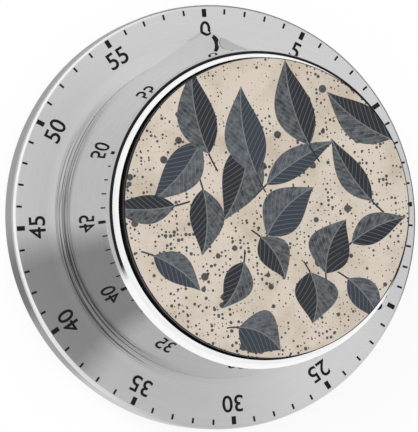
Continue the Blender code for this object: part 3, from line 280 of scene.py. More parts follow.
@dataclass(frozen=True)
class Fan:
    """A soft sector of a disc.

    Its bearing is its middle, clockwise from zero, and half is half of its width, in degrees.
    """

    bearing: float
    half: float
    strength: float = 1.0

    def draw(self, tree: Tree, outward: Socket) -> Socket:
        """Give the sector's strength at a place.

        Args:
            tree: the material's node tree.
            outward: direction from the disc's axis.

        Returns:
            The strength in the middle of the sector, falling to nought at its sides.
        """
        turn = math.radians(self.bearing)
        facing = (math.sin(turn), math.cos(turn), 0.0)
        towards = add_node(
            tree, "ShaderNodeVectorMath", {"operation": "DOT_PRODUCT"}, {0: outward, 1: facing}
        ).outputs["Value"]
        side = math.cos(math.radians(self.half))
        return add_node(
            tree, "ShaderNodeMapRange", SOFT_STEP, {0: towards, 1: side, 2: 1.0, 4: self.strength}
        ).outputs[0]


@dataclass(frozen=True)
class CircularBrushedSteel(Finish):
    """Stainless sheet brushed on a turntable: fine rings, and dark sectors of painted shade.

    Rings are counted along the radius less the height, so that they also run round the rim's
    wall. Breaks say how often a ring fades on its way round.
    """

    # The brushing lines and the painted shade of the dark sectors both pull the colour towards this
    # darker grey.
    other_colour: str = "#8e8e8e"
    other_roughness: float = 0.44
    metallic: float = 1.0
    anisotropy: float = 0.5
    # The abrasive leaves lines about 0.05 mm apart. They are drawn coarser so that they show.
    line_pitch: float = 0.16
    line_breaks: float = 2.5
    line_depth: float = 0.0005
    line_share: float = 0.22
    # Painted shade: dark sectors where the brushed steel would mirror a dark part of the room.
    fans: tuple[Fan, ...] = (
        Fan(246.0, 27.0, 0.8),
        Fan(212.0, 60.0, 0.3),
        Fan(285.0, 50.0, 0.12),
        Fan(95.0, 40.0, 0.12),
    )
    # The cove keeps the spinning tool's streaks, which are coarser than the brushing. Their dark
    # colour on the camera's side only is painted shade and reflection of the knob's foot.
    streak_pitch: float = 0.26
    streak_breaks: float = 1.2
    streak_start: float = 0.44
    streak_full: float = 0.58
    streak_radius: float = 30.2
    streak_width: float = 1.4
    streak_share: float = 1.0
    streak_colour: str = "#303030"
    streak_fan: Fan = Fan(258.0, 72.0)
    # Painted highlight: the rolled edge, where the sheet turns down, is painted near white towards
    # the lit side.
    edge_colour: str = "#fbfbfb"
    edge_start: float = 43.74
    edge_end: float = 43.86
    edge_fan: Fan = Fan(280.0, 90.0)

    def detail(self, tree: Tree, shader: Node, place: Socket) -> None:
        """Draw the rings, the sectors of painted shade, the cove's streaks and the edge's painted
        highlight, and turn the gloss along.

        Args:
            tree: the material's node tree.
            shader: its Principled shader.
            place: position on the flange in millimetres.
        """
        offset, radius = self.from_axis(tree, place)
        outward = add_node(
            tree, "ShaderNodeVectorMath", {"operation": "NORMALIZE"}, {0: offset}
        ).outputs[0]
        height = add_node(tree, "ShaderNodeSeparateXYZ", None, {0: place}).outputs["Z"]
        ring = add_node(
            tree, "ShaderNodeMath", {"operation": "SUBTRACT"}, {0: radius, 1: height}
        ).outputs[0]
        lines = self.rings(tree, outward, ring, self.line_pitch, self.line_breaks)
        dark = add_node(
            tree, "ShaderNodeMath", {"operation": "MULTIPLY"}, {0: lines, 1: self.line_share}
        ).outputs[0]
        # Painted shade: the dark sectors are laid over the brushing lines.
        for fan in self.fans:
            both = {0: dark, 1: fan.draw(tree, outward)}
            dark = add_node(
                tree, "ShaderNodeMath", {"operation": "ADD", "use_clamp": True}, both
            ).outputs[0]
        brushed = self.spread(tree, shader, dark, self.other_colour, self.other_roughness)
        # Painted shade and reflection: the cove's streaks turn dark on the camera's side.
        streaks = self.streaks(tree, outward, ring, radius)
        shades = {0: streaks, 6: brushed, 7: linear(self.streak_colour)}
        shade_streaked = add_node(tree, "ShaderNodeMix", IN_COLOUR, shades).outputs[2]
        # Painted highlight: the rolled edge turns near white on the lit side.
        edge = self.polished_edge(tree, outward, radius, height)
        shades = {0: edge, 6: shade_streaked, 7: linear(self.edge_colour)}
        with_painted_edge = add_node(tree, "ShaderNodeMix", IN_COLOUR, shades).outputs[2]
        tree.links.new(with_painted_edge, shader.inputs["Base Color"])
        bump = {"Strength": 1.0, "Distance": self.line_depth * MM, "Height": lines}
        relief = add_node(tree, "ShaderNodeBump", None, bump).outputs[0]
        upright = (0.0, 0.0, 1.0)
        along_ring = add_node(
            tree, "ShaderNodeVectorMath", {"operation": "CROSS_PRODUCT"}, {0: upright, 1: outward}
        ).outputs[0]
        tree.links.new(relief, shader.inputs["Normal"])
        tree.links.new(along_ring, shader.inputs["Tangent"])
        shader.inputs["Anisotropic"].default_value = self.anisotropy

    def rings(
        self, tree: Tree, outward: Socket, ring: Socket, pitch: float, breaks: float
    ) -> Socket:
        """Draw concentric lines that fade in and out along their length.

        Args:
            tree: the material's node tree.
            outward: direction from the axis.
            ring: distance that the lines are counted along, in millimetres.
            pitch: distance between lines in millimetres.
            breaks: how often a line fades on its way round.

        Returns:
            The lines' strength.
        """
        lift = add_node(
            tree, "ShaderNodeMath", {"operation": "DIVIDE"}, {0: ring, 1: pitch}
        ).outputs[0]
        up = add_node(tree, "ShaderNodeCombineXYZ", None, {2: lift}).outputs[0]
        along = add_node(
            tree,
            "ShaderNodeVectorMath",
            {"operation": "MULTIPLY_ADD"},
            {0: outward, 1: (breaks, breaks, 0.0), 2: up},
        ).outputs[0]
        rough = {"Vector": along, "Scale": 1.0, "Detail": 4.0, "Roughness": 0.7}
        return add_node(tree, "ShaderNodeTexNoise", None, rough).outputs[0]

    def streaks(self, tree: Tree, outward: Socket, ring: Socket, radius: Socket) -> Socket:
        """Score the cove with the tool's streaks, dark on the side that the camera stands on:
        painted shade and reflection of the knob's foot.

        Args:
            tree: the material's node tree.
            outward: direction from the axis.
            ring: distance that the streaks are counted along, in millimetres.
            radius: distance from the axis in millimetres.

        Returns:
            The streaks' strength.
        """
        lines = self.rings(tree, outward, ring, self.streak_pitch, self.streak_breaks)
        cut = add_node(
            tree, "ShaderNodeMapRange", None, {0: lines, 1: self.streak_start, 2: self.streak_full}
        ).outputs[0]
        off = add_node(
            tree, "ShaderNodeMath", {"operation": "SUBTRACT"}, {0: radius, 1: self.streak_radius}
        ).outputs[0]
        far = add_node(tree, "ShaderNodeMath", {"operation": "ABSOLUTE"}, {0: off}).outputs[0]
        fading = {0: far, 2: self.streak_width, 3: self.streak_share, 4: 0.0}
        zone = add_node(tree, "ShaderNodeMapRange", SOFT_STEP, fading).outputs[0]
        scored = add_node(
            tree, "ShaderNodeMath", {"operation": "MULTIPLY"}, {0: zone, 1: cut}
        ).outputs[0]
        side = self.streak_fan.draw(tree, outward)
        return add_node(
            tree, "ShaderNodeMath", {"operation": "MULTIPLY"}, {0: scored, 1: side}
        ).outputs[0]

    def polished_edge(self, tree: Tree, outward: Socket, radius: Socket, height: Socket) -> Socket:
        """Find the rolled edge by its radius and height together, on the lit side, where a
        highlight is painted.

        Args:
            tree: the material's node tree.
            outward: direction from the axis.
            radius: distance from the axis in millimetres.
            height: height in millimetres.

        Returns:
            The painted highlight's strength.
        """
        corner = add_node(
            tree, "ShaderNodeMath", {"operation": "ADD"}, {0: radius, 1: height}
        ).outputs[0]
        rolled = add_node(
            tree, "ShaderNodeMapRange", SOFT_STEP, {0: corner, 1: self.edge_start, 2: self.edge_end}
        ).outputs[0]
        side = self.edge_fan.draw(tree, outward)
        return add_node(
            tree, "ShaderNodeMath", {"operation": "MULTIPLY"}, {0: rolled, 1: side}
        ).outputs[0]


@dataclass(frozen=True)
class MirrorSteel(Finish):
    """Stainless steel, drawn or turned and then buffed: a mirror with faint haze and wave."""

    other_colour: str = "#e6e6e8"
    other_roughness: float = 0.05
    metallic: float = 1.0
    # Buffing leaves a slow wave of a few millimetres, and haze in flecks of about 1 mm, drawn
    # out round the piece.
    wave_pitch: float = 6.0
    wave_depth: float = 0.0006
    haze_pitch: float = 1.1
    haze_stretch: tuple[float, float, float] = (0.35, 0.35, 2.2)
    haze_start: float = 0.35
    haze_full: float = 0.75

    def detail(self, tree: Tree, shader: Node, place: Socket) -> None:
        """Add haze that follows the buffing round the piece, and a shallow wave.

        Args:
            tree: the material's node tree.
            shader: its Principled shader.
            place: position on the piece in millimetres.
        """
        stretch = {0: place, 1: self.haze_stretch}
        drawn = add_node(
            tree, "ShaderNodeVectorMath", {"operation": "MULTIPLY"}, stretch
        ).outputs[0]
        flecks = {"Vector": drawn, "Scale": 1 / self.haze_pitch, "Detail": 5.0, "Roughness": 0.6}
        haze = add_node(tree, "ShaderNodeTexNoise", None, flecks).outputs[0]
        clear = add_node(
            tree, "ShaderNodeMapRange", None, {0: haze, 1: self.haze_start, 2: self.haze_full}
        ).outputs[0]
        self.spread(tree, shader, clear, self.other_colour, self.other_roughness)
        slow = {"Vector": place, "Scale": 1 / self.wave_pitch, "Detail": 1.0}
        wave = add_node(tree, "ShaderNodeTexNoise", None, slow).outputs[0]
        bump = {"Strength": 1.0, "Distance": self.wave_depth * MM, "Height": wave}
        relief = add_node(tree, "ShaderNodeBump", None, bump).outputs[0]
        tree.links.new(relief, shader.inputs["Normal"])


@dataclass(frozen=True)
class GrainedSurface(Finish):
    """A surface whose grain is all one kind: moulded, sintered, plated, rolled or printed."""

    other_colour: str = "#000000"
    other_roughness: float = 0.5
    grain: float = 0.3
    stretch: tuple[float, float, float] = (1.0, 1.0, 1.0)
    cloud: float = 6.0
    cloud_share: float = 0.4
    spread_start: float = 0.3
    spread_full: float = 0.7
    depth: float = 0.004
    gloss: float = 0.5

    def detail(self, tree: Tree, shader: Node, place: Socket) -> None:
        """Mix a fine grain with slow clouds, and let the grain stand up as relief.

        Args:
            tree: the material's node tree.
            shader: its Principled shader.
            place: position on the piece in millimetres.
        """
        drawn = add_node(
            tree, "ShaderNodeVectorMath", {"operation": "MULTIPLY"}, {0: place, 1: self.stretch}
        ).outputs[0]
        grains = {"Vector": drawn, "Scale": 1 / self.grain, "Detail": 3.0, "Roughness": 0.6}
        fine = add_node(tree, "ShaderNodeTexNoise", None, grains).outputs[0]
        clouds = {"Vector": place, "Scale": 1 / self.cloud, "Detail": 2.0}
        slow = add_node(tree, "ShaderNodeTexNoise", None, clouds).outputs[0]
        both = add_node(
            tree, "ShaderNodeMix", None, {0: self.cloud_share, 2: fine, 3: slow}
        ).outputs[0]
        clear = add_node(
            tree, "ShaderNodeMapRange", None, {0: both, 1: self.spread_start, 2: self.spread_full}
        ).outputs[0]
        self.spread(tree, shader, clear, self.other_colour, self.other_roughness)
        bump = {"Strength": 1.0, "Distance": self.depth * MM, "Height": fine}
        relief = add_node(tree, "ShaderNodeBump", None, bump).outputs[0]
        tree.links.new(relief, shader.inputs["Normal"])
        shader.inputs["Specular IOR Level"].default_value = self.gloss


@dataclass(frozen=True)
class LeafStamp:
    """One printed leaf, made as a group of nodes that lays it over what is under it.

    Widths and pitches are millimetres. The stalk's ends are shares of the leaf's length from
    its middle.
    """

    name: str = "leaf stamp"
    bend: float = 0.55
    edge: float = 0.14
    # The first power moves the widest place towards the stalk, the second draws out the tips.
    widest: float = 0.75
    taper: float = 1.15
    rib: float = 0.16
    vein_pitch: float = 1.15
    vein_slant: float = 1.2
    vein_width: float = 0.1
    vein_strength: float = 0.8
    stalk_tip: float = -0.72
    stalk_softness: float = 0.02
    stalk_root: float = -0.45

    def group(self) -> Tree:
        """Make the group, or find it when it is made already.

        Returns:
            The group's tree.
        """
        made = bpy.data.node_groups.get(self.name)
        if made is not None:
            return made
        made = bpy.data.node_groups.new(self.name, "ShaderNodeTree")
        entries = (
            ("Under", "NodeSocketColor"),
            ("Ink", "NodeSocketColor"),
            ("Wash", "NodeSocketColor"),
            ("Place", "NodeSocketVector"),
            ("Centre", "NodeSocketVector"),
            ("Turn", "NodeSocketFloat"),
            ("Length", "NodeSocketFloat"),
            ("Width", "NodeSocketFloat"),
            ("Blot", "NodeSocketFloat"),
        )
        for label, kind in entries:
            made.interface.new_socket(name=label, in_out="INPUT", socket_type=kind)
        made.interface.new_socket(name="Colour", in_out="OUTPUT", socket_type="NodeSocketColor")
        given = add_node(made, "NodeGroupInput").outputs
        run, lengthwise, across = self.axes(made, given)
        side = add_node(made, "ShaderNodeMath", {"operation": "ABSOLUTE"}, {0: across}).outputs[0]
        stalk = self.stalk(made, run, side)
        stalked = add_node(
            made, "ShaderNodeMix", IN_COLOUR, {0: stalk, 6: given["Under"], 7: given["Ink"]}
        ).outputs[2]
        blade = self.blade(made, given, run, side)
        marked = self.inked(made, given, lengthwise, across, side)
        laid = add_node(
            made, "ShaderNodeMix", IN_COLOUR, {0: blade, 6: stalked, 7: marked}
        ).outputs[2]
        add_node(made, "NodeGroupOutput", None, {0: laid})
        return made

    def axes(self, tree: Tree, given: Any) -> tuple[Socket, Socket, Socket]:
        """Measure a place along the leaf and across its bent midrib.

        Args:
            tree: the group.
            given: outputs of the group's input node.

        Returns:
            The share of the length from the middle, the length, and the distance to the rib.
        """
        moved = add_node(
            tree,
            "ShaderNodeVectorMath",
            {"operation": "SUBTRACT"},
            {0: given["Place"], 1: given["Centre"]},
        ).outputs[0]
        turned = add_node(
            tree,
            "ShaderNodeVectorRotate",
            {"rotation_type": "Z_AXIS", "invert": True},
            {"Vector": moved, "Angle": given["Turn"]},
        ).outputs[0]
        parts = add_node(tree, "ShaderNodeSeparateXYZ", None, {0: turned}).outputs
        run = add_node(
            tree, "ShaderNodeMath", {"operation": "DIVIDE"}, {0: parts["X"], 1: given["Length"]}
        ).outputs[0]
        bow = add_node(
            tree, "ShaderNodeMath", {"operation": "MULTIPLY"}, {0: run, 1: run}
        ).outputs[0]
        bent = add_node(
            tree, "ShaderNodeMath", {"operation": "MULTIPLY"}, {0: bow, 1: given["Width"]}
        ).outputs[0]
        across = add_node(
            tree,
            "ShaderNodeMath",
            {"operation": "MULTIPLY_ADD"},
            {0: bent, 1: self.bend, 2: parts["Y"]},
        ).outputs[0]
        return run, parts["X"], across

    def blade(self, tree: Tree, given: Any, run: Socket, side: Socket) -> Socket:
        """Shape the blade, which is widest near the stalk and runs out to points.

        Args:
            tree: the group.
            given: outputs of the group's input node.
            run: share of the length from the middle.
            side: distance from the rib.

        Returns:
            One in the blade and nought outside it.
        """
        share = add_node(
            tree, "ShaderNodeMath", {"operation": "ADD", "use_clamp": True}, {0: run, 1: 0.5}
        ).outputs[0]
        skew = add_node(
            tree, "ShaderNodeMath", {"operation": "POWER"}, {0: share, 1: self.widest}
        ).outputs[0]
        angle = add_node(
            tree, "ShaderNodeMath", {"operation": "MULTIPLY"}, {0: skew, 1: math.pi}
        ).outputs[0]
        swell = add_node(tree, "ShaderNodeMath", {"operation": "SINE"}, {0: angle}).outputs[0]
        drawn = add_node(
            tree, "ShaderNodeMath", {"operation": "POWER"}, {0: swell, 1: self.taper}
        ).outputs[0]
        half = add_node(
            tree, "ShaderNodeMath", {"operation": "MULTIPLY"}, {0: given["Width"], 1: 0.5}
        ).outputs[0]
        reach = add_node(
            tree, "ShaderNodeMath", {"operation": "MULTIPLY"}, {0: drawn, 1: half}
        ).outputs[0]
        inside = add_node(
            tree, "ShaderNodeMath", {"operation": "SUBTRACT"}, {0: reach, 1: side}
        ).outputs[0]
        return add_node(tree, "ShaderNodeMapRange", SOFT_STEP, {0: inside, 2: self.edge}).outputs[0]

    def inked(
        self, tree: Tree, given: Any, lengthwise: Socket, across: Socket, side: Socket
    ) -> Socket:
        """Colour the blade: ink on one half, blotted wash on the other, rib and slanting veins.

        Args:
            tree: the group.
            given: outputs of the group's input node.
            lengthwise: distance along the leaf from its middle.
            across: distance from the rib, below nought on one half.
            side: the same without its sign.

        Returns:
            The blade's colour.
        """
        rib = add_node(
            tree, "ShaderNodeMapRange", SOFT_STEP, {0: side, 2: self.rib, 3: 1.0, 4: 0.0}
        ).outputs[0]
        slant = add_node(
            tree,
            "ShaderNodeMath",
            {"operation": "MULTIPLY_ADD"},
            {0: side, 1: -self.vein_slant, 2: lengthwise},
        ).outputs[0]
        saw = add_node(
            tree, "ShaderNodeMath", {"operation": "PINGPONG"}, {0: slant, 1: self.vein_pitch / 2}
        ).outputs[0]
        fading = {0: saw, 2: self.vein_width, 3: self.vein_strength, 4: 0.0}
        veins = add_node(tree, "ShaderNodeMapRange", SOFT_STEP, fading).outputs[0]
        lines = add_node(
            tree, "ShaderNodeMath", {"operation": "MAXIMUM"}, {0: rib, 1: veins}
        ).outputs[0]
        washed = add_node(
            tree, "ShaderNodeMath", {"operation": "GREATER_THAN"}, {0: across, 1: 0.0}
        ).outputs[0]
        tone = add_node(
            tree, "ShaderNodeMath", {"operation": "MULTIPLY"}, {0: washed, 1: given["Blot"]}
        ).outputs[0]
        ink = add_node(
            tree, "ShaderNodeMix", IN_COLOUR, {0: tone, 6: given["Ink"], 7: given["Wash"]}
        ).outputs[2]
        return add_node(
            tree, "ShaderNodeMix", IN_COLOUR, {0: lines, 6: ink, 7: given["Wash"]}
        ).outputs[2]

    def stalk(self, tree: Tree, run: Socket, side: Socket) -> Socket:
        """Draw the stalk, a line from the blade's foot that ends softly.

        Args:
            tree: the group.
            run: share of the length from the middle.
            side: distance from the rib.

        Returns:
            One on the stalk and nought beside it.
        """
        end = {0: run, 1: self.stalk_tip, 2: self.stalk_tip + self.stalk_softness}
        tail = add_node(tree, "ShaderNodeMapRange", SOFT_STEP, end).outputs[0]
        before = add_node(
            tree, "ShaderNodeMath", {"operation": "LESS_THAN"}, {0: run, 1: self.stalk_root}
        ).outputs[0]
        thin = add_node(
            tree, "ShaderNodeMath", {"operation": "LESS_THAN"}, {0: side, 1: self.rib}
        ).outputs[0]
        reached = add_node(
            tree, "ShaderNodeMath", {"operation": "MULTIPLY"}, {0: tail, 1: before}
        ).outputs[0]
        return add_node(
            tree, "ShaderNodeMath", {"operation": "MULTIPLY"}, {0: reached, 1: thin}
        ).outputs[0]


@dataclass(frozen=True)
class Swing:
    """A size that swings from one leaf to the next, so that no two are alike."""

    mean: float
    reach: float
    pace: float
    phase: float = 0.0

    def at(self, number: int) -> float:
        """Give the size of one leaf."""
        return self.mean + self.reach * math.sin(self.pace * number + self.phase)


@dataclass(frozen=True)
class PrintedFace(Finish):
    """Paper-backed print under a clear film: leaves and berries in dark ink on cream.

    The leaves stand on a golden-angle spiral. A density counts stains, brush strokes or the
    like on a millimetre, and a dot's sizes are shares of the dots' pitch.
    """

    stain: str = "#b7a997"
    stain_density: float = 0.14
    stain_start: float = 0.42
    stain_full: float = 0.72
    ink: str = "#24272d"
    second_ink: str = "#343a44"
    wash: str = "#777b7d"
    brush_density: float = 0.9
    pool_start: float = 0.35
    pool_full: float = 0.7
    pool_least: float = 0.05
    pool_most: float = 0.75
    leaf_count: int = 19
    golden_angle: float = 137.508
    spiral_step: float = 5.6
    spiral_start: float = 0.35
    leaf_turn: Swing = Swing(40.0, 70.0, 1.7)
    leaf_length: Swing = Swing(12.4, 3.6, 2.4)
    leaf_width: Swing = Swing(6.6, 1.6, 1.3, 1.0)
    berry_pitch: float = 3.0
    berry_share: float = 0.34
    speck_pitch: float = 0.7
    speck_share: float = 0.5
    crowd_density: float = 0.11
    crowd_start: float = 0.32
    crowd_full: float = 0.6
    crowd_least: float = 0.35
    dot_scatter: float = 0.9
    # A power above two makes small dots commoner than large ones.
    dot_rarity: float = 2.2
    dot_edge: float = 0.05
    dot_strength: float = 0.92
    film_density: float = 3.0
    film_start: float = 0.3
    film_full: float = 0.7
    film_haze: float = 0.06
    film_depth: float = 0.003
    film_gloss: float = 0.25
    # Painted shade: the disc's outer rim and its side are near black, for the shadowed gap at the
    # bezel's lip.
    border: str = "#0e0e0f"
    border_start: float = 26.08
    border_softness: float = 0.04

    def detail(self, tree: Tree, shader: Node, place: Socket) -> None:
        """Print the ground, the specks and berries and the leaves over them, and paint shade on the
        rim.

        Args:
            tree: the material's node tree.
            shader: its Principled shader.
            place: position on the disc in millimetres.
        """
        paper = self.ground(tree, place)
        specked = self.dots(tree, place, paper, self.speck_pitch, self.speck_share)
        dotted = self.dots(tree, place, specked, self.berry_pitch, self.berry_share)
        printed = self.leaves(tree, place, dotted)
        # Painted shade: the rim and the side of the disc turn near black.
        radius = self.from_axis(tree, place)[1]
        rim = {
            0: radius,
            1: self.border_start - self.border_softness,
            2: self.border_start + self.border_softness,
        }
        outside = add_node(tree, "ShaderNodeMapRange", SOFT_STEP, rim).outputs[0]
        with_painted_edge = add_node(
            tree, "ShaderNodeMix", IN_COLOUR, {0: outside, 6: printed, 7: linear(self.border)}
        ).outputs[2]
        tree.links.new(with_painted_edge, shader.inputs["Base Color"])
        self.cover(tree, shader, place)

    def ground(self, tree: Tree, place: Socket) -> Socket:
        """Mottle the cream with tea-coloured stains.

        Args:
            tree: the material's node tree.
            place: position in millimetres.

        Returns:
            The ground's colour.
        """
        slow = {"Vector": place, "Scale": self.stain_density, "Detail": 6.0, "Roughness": 0.62}
        blotch = add_node(tree, "ShaderNodeTexNoise", None, slow).outputs[0]
        stained = add_node(
            tree, "ShaderNodeMapRange", None, {0: blotch, 1: self.stain_start, 2: self.stain_full}
        ).outputs[0]
        shades = {0: stained, 6: linear(self.colour), 7: linear(self.stain)}
        return add_node(tree, "ShaderNodeMix", IN_COLOUR, shades).outputs[2]

    def dots(self, tree: Tree, place: Socket, under: Socket, pitch: float, share: float) -> Socket:
        """Scatter round ink dots, of many sizes and thicker in some places.

        Args:
            tree: the material's node tree.
            place: position in millimetres.
            under: colour that they lie on.
            pitch: mean distance between dots in millimetres.
            share: radius of the largest dot as a share of the pitch.

        Returns:
            The colour with dots.
        """
        cells = add_node(
            tree,
            "ShaderNodeTexVoronoi",
            {"voronoi_dimensions": "2D"},
            {"Vector": place, "Scale": 1 / pitch, "Randomness": self.dot_scatter},
        ).outputs
        chance = add_node(tree, "ShaderNodeSeparateColor", None, {0: cells["Color"]}).outputs
        slow = {"Vector": place, "Scale": self.crowd_density, "Detail": 1.0}
        crowd = add_node(tree, "ShaderNodeTexNoise", None, slow).outputs[0]
        thicker = {0: crowd, 1: self.crowd_start, 2: self.crowd_full, 3: self.crowd_least}
        room = add_node(tree, "ShaderNodeMapRange", None, thicker).outputs[0]
        size = add_node(
            tree, "ShaderNodeMath", {"operation": "POWER"}, {0: chance[0], 1: self.dot_rarity}
        ).outputs[0]
        fitted = add_node(
            tree, "ShaderNodeMath", {"operation": "MULTIPLY"}, {0: size, 1: room}
        ).outputs[0]
        radius = add_node(
            tree, "ShaderNodeMath", {"operation": "MULTIPLY"}, {0: fitted, 1: share}
        ).outputs[0]
        inside = add_node(
            tree, "ShaderNodeMath", {"operation": "SUBTRACT"}, {0: radius, 1: cells["Distance"]}
        ).outputs[0]
        mask = add_node(
            tree,
            "ShaderNodeMapRange",
            SOFT_STEP,
            {0: inside, 2: self.dot_edge, 4: self.dot_strength},
        ).outputs[0]
        inks = {0: chance[1], 6: linear(self.ink), 7: linear(self.second_ink)}
        tone = add_node(tree, "ShaderNodeMix", IN_COLOUR, inks).outputs[2]
        return add_node(tree, "ShaderNodeMix", IN_COLOUR, {0: mask, 6: under, 7: tone}).outputs[2]

    def leaves(self, tree: Tree, place: Socket, under: Socket) -> Socket:
        """Stamp the leaves along the spiral.

        Args:
            tree: the material's node tree.
            place: position in millimetres.
            under: colour that they lie on.

        Returns:
            The colour with leaves.
        """
        strokes = {"Vector": place, "Scale": self.brush_density, "Detail": 4.0, "Roughness": 0.65}
        brushed = add_node(tree, "ShaderNodeTexNoise", None, strokes).outputs[0]
        pools = {0: brushed, 1: self.pool_start, 2: self.pool_full}
        pools.update({3: self.pool_least, 4: self.pool_most})
        pooled = add_node(tree, "ShaderNodeMapRange", None, pools).outputs[0]
        stamp = {"node_tree": LeafStamp().group()}
        golden = math.radians(self.golden_angle)
        printed = under
        for number in range(self.leaf_count):
            bearing = golden * number
            radius = self.spiral_step * math.sqrt(number + self.spiral_start)
            leaf = {
                "Under": printed,
                "Ink": linear(self.ink if number % 3 else self.second_ink),
                "Wash": linear(self.wash),
                "Place": place,
                "Centre": (radius * math.cos(bearing), radius * math.sin(bearing), 0.0),
                "Turn": bearing + math.radians(self.leaf_turn.at(number)),
                "Length": self.leaf_length.at(number),
                "Width": self.leaf_width.at(number),
                "Blot": pooled,
            }
            printed = add_node(tree, "ShaderNodeGroup", stamp, leaf).outputs[0]
        return printed

    def cover(self, tree: Tree, shader: Node, place: Socket) -> None:
        """Lay the clear film over the print, with a fine grain in its gloss.

        Args:
            tree: the material's node tree.
            shader: its Principled shader.
            place: position in millimetres.
        """
        grain = {"Vector": place, "Scale": self.film_density, "Detail": 3.0}
        film = add_node(tree, "ShaderNodeTexNoise", None, grain).outputs[0]
        haze = {0: film, 1: self.film_start, 2: self.film_full}
        haze.update({3: self.roughness - self.film_haze, 4: self.roughness + self.film_haze})
        rough = add_node(tree, "ShaderNodeMapRange", None, haze).outputs[0]
        bump = {"Strength": 1.0, "Distance": self.film_depth * MM, "Height": film}
        relief = add_node(tree, "ShaderNodeBump", None, bump).outputs[0]
        tree.links.new(rough, shader.inputs["Roughness"])
        tree.links.new(relief, shader.inputs["Normal"])
        shader.inputs["Specular IOR Level"].default_value = self.film_gloss


# Stamped stainless sheet, brushed in rings: soft grey with dark sectors of painted shade.
BRUSHED_FLANGE = CircularBrushedSteel("circular brushed stainless", "#d6d6d6", 0.36)
# Deep-drawn stainless, buffed: a near mirror, a little grey.
DRAWN_MIRROR = MirrorSteel("mirror buffed drawn stainless", "#f2f2f3", 0.02)
# Turned stainless ring, buffed and plated: the brightest mirror on the timer.
BEZEL_MIRROR = MirrorSteel(
    "mirror buffed bezel stainless", "#fafafa", 0.03, other_colour="#f2f2f3", other_roughness=0.05
)
# Screen-printed enamel ink: dense black that lies as a thin satin film.
SCALE_INK = GrainedSurface(
    "screen printed black ink",
    "#101011",
    0.5,
    other_colour="#1a1a1c",
    other_roughness=0.62,
    grain=0.12,
    depth=0.002,
    gloss=0.15,
)
# Print under a matt clear film: cream ground, nearly black leaves, little gloss.
FACE_PRINT = PrintedFace("printed face film", "#cfc4b6", 0.38)
# Injection-moulded ABS with a spark-eroded texture: matt black with a pale sheen of grain.
BLACK_ABS = GrainedSurface(
    "spark textured black ABS",
    "#121213",
    0.5,
    ior=1.53,
    other_colour="#1a1a1b",
    other_roughness=0.62,
    grain=0.28,
    depth=0.012,
    gloss=0.3,
)
# Pressed and sintered hard ferrite: dull charcoal with a coarse crystalline grain.
HARD_FERRITE = GrainedSurface(
    "sintered hard ferrite",
    "#3a3a3c",
    0.55,
    ior=2.0,
    other_colour="#4a4a4c",
    other_roughness=0.7,
    grain=0.35,
    depth=0.01,
)
# Mild steel, barrel plated with bright zinc: cool grey with a blue cast.
BRIGHT_ZINC = GrainedSurface(
    "bright zinc plated steel",
    "#c2c6cb",
    0.28,
    metallic=1.0,
    other_colour="#aab0b8",
    other_roughness=0.4,
    grain=0.25,
    depth=0.002,
)
# Spun steel bell with nickel plate: warm white metal with spinning lines.
NICKEL_BELL = GrainedSurface(
    "nickel plated bell steel",
    "#d6d2ca",
    0.2,
    metallic=1.0,
    other_colour="#c6c1b8",
    other_roughness=0.32,
    grain=0.5,
    stretch=(1.0, 1.0, 3.0),
    depth=0.002,
)
# Hardened and tempered strip: blue-grey oxide with streaks along the strip.
TEMPERED_SPRING = GrainedSurface(
    "tempered spring steel",
    "#6a7280",
    0.3,
    metallic=1.0,
    other_colour="#8a8a86",
    other_roughness=0.42,
    grain=0.4,
    stretch=(0.6, 0.6, 3.0),
    depth=0.002,
)
# Hard-rolled brass sheet, stamped: yellow with fine straight rolling lines.
ROLLED_BRASS = GrainedSurface(
    "rolled clock brass",
    "#d9b56a",
    0.24,
    metallic=1.0,
    other_colour="#c69f57",
    other_roughness=0.38,
    grain=0.3,
    stretch=(0.15, 3.0, 1.0),
    depth=0.002,
)

SLOT_FINISH = {
    Slot.FLANGE: BRUSHED_FLANGE,
    Slot.KNOB: DRAWN_MIRROR,
    Slot.BEZEL: BEZEL_MIRROR,
    Slot.FACE: FACE_PRINT,
    Slot.MOULDING: BLACK_ABS,
    Slot.FERRITE: HARD_FERRITE,
    Slot.ZINC: BRIGHT_ZINC,
    Slot.BELL: NICKEL_BELL,
    Slot.SPRING: TEMPERED_SPRING,
    Slot.BRASS: ROLLED_BRASS,
}


# Shapes


def rounded(
    corners: Sequence[Corner], steps: int = 5, support: float = 0.06 * MM, most: float = 0.45
) -> list[Point]:
    """Round the corners of a closed profile.

    Args:
        corners: radius, height and rounding of each corner in order.
        steps: faces along each rounding.
        support: distance of the extra point that keeps each side of it flat.
        most: largest share of a side that a rounding takes.

    Returns:
        Radius and height of each point of the profile.
    """
    points: list[Point] = []
    for place, (across, up, rounding) in enumerate(corners):
        here = Vector((across, up))
        if rounding <= 0.0:
            points.append((across, up))
            continue
        before = Vector(corners[place - 1][:2]) - here
        after = Vector(corners[(place + 1) % len(corners)][:2]) - here
        half = before.angle(after) / 2
        reach = min(rounding / math.tan(half), most * min(before.length, after.length))
        inward = (before.normalized() + after.normalized()).normalized()
        middle = here + inward * (reach / math.cos(half))
        start = here + before.normalized() * reach - middle
        end = here + after.normalized() * reach - middle
        first = math.atan2(start.y, start.x)
        sweep = (math.atan2(end.y, end.x) - first + math.pi) % FULL_TURN - math.pi
        if before.length > 2 * (reach + support):
            points.append(tuple(here + before.normalized() * (reach + support)))
        for step in range(steps + 1):
            turn = first + sweep * step / steps
            arm = Vector((math.cos(turn), math.sin(turn))) * start.length
            points.append(tuple(middle + arm))
        if after.length > 2 * (reach + support):
            points.append(tuple(here + after.normalized() * (reach + support)))
    return points


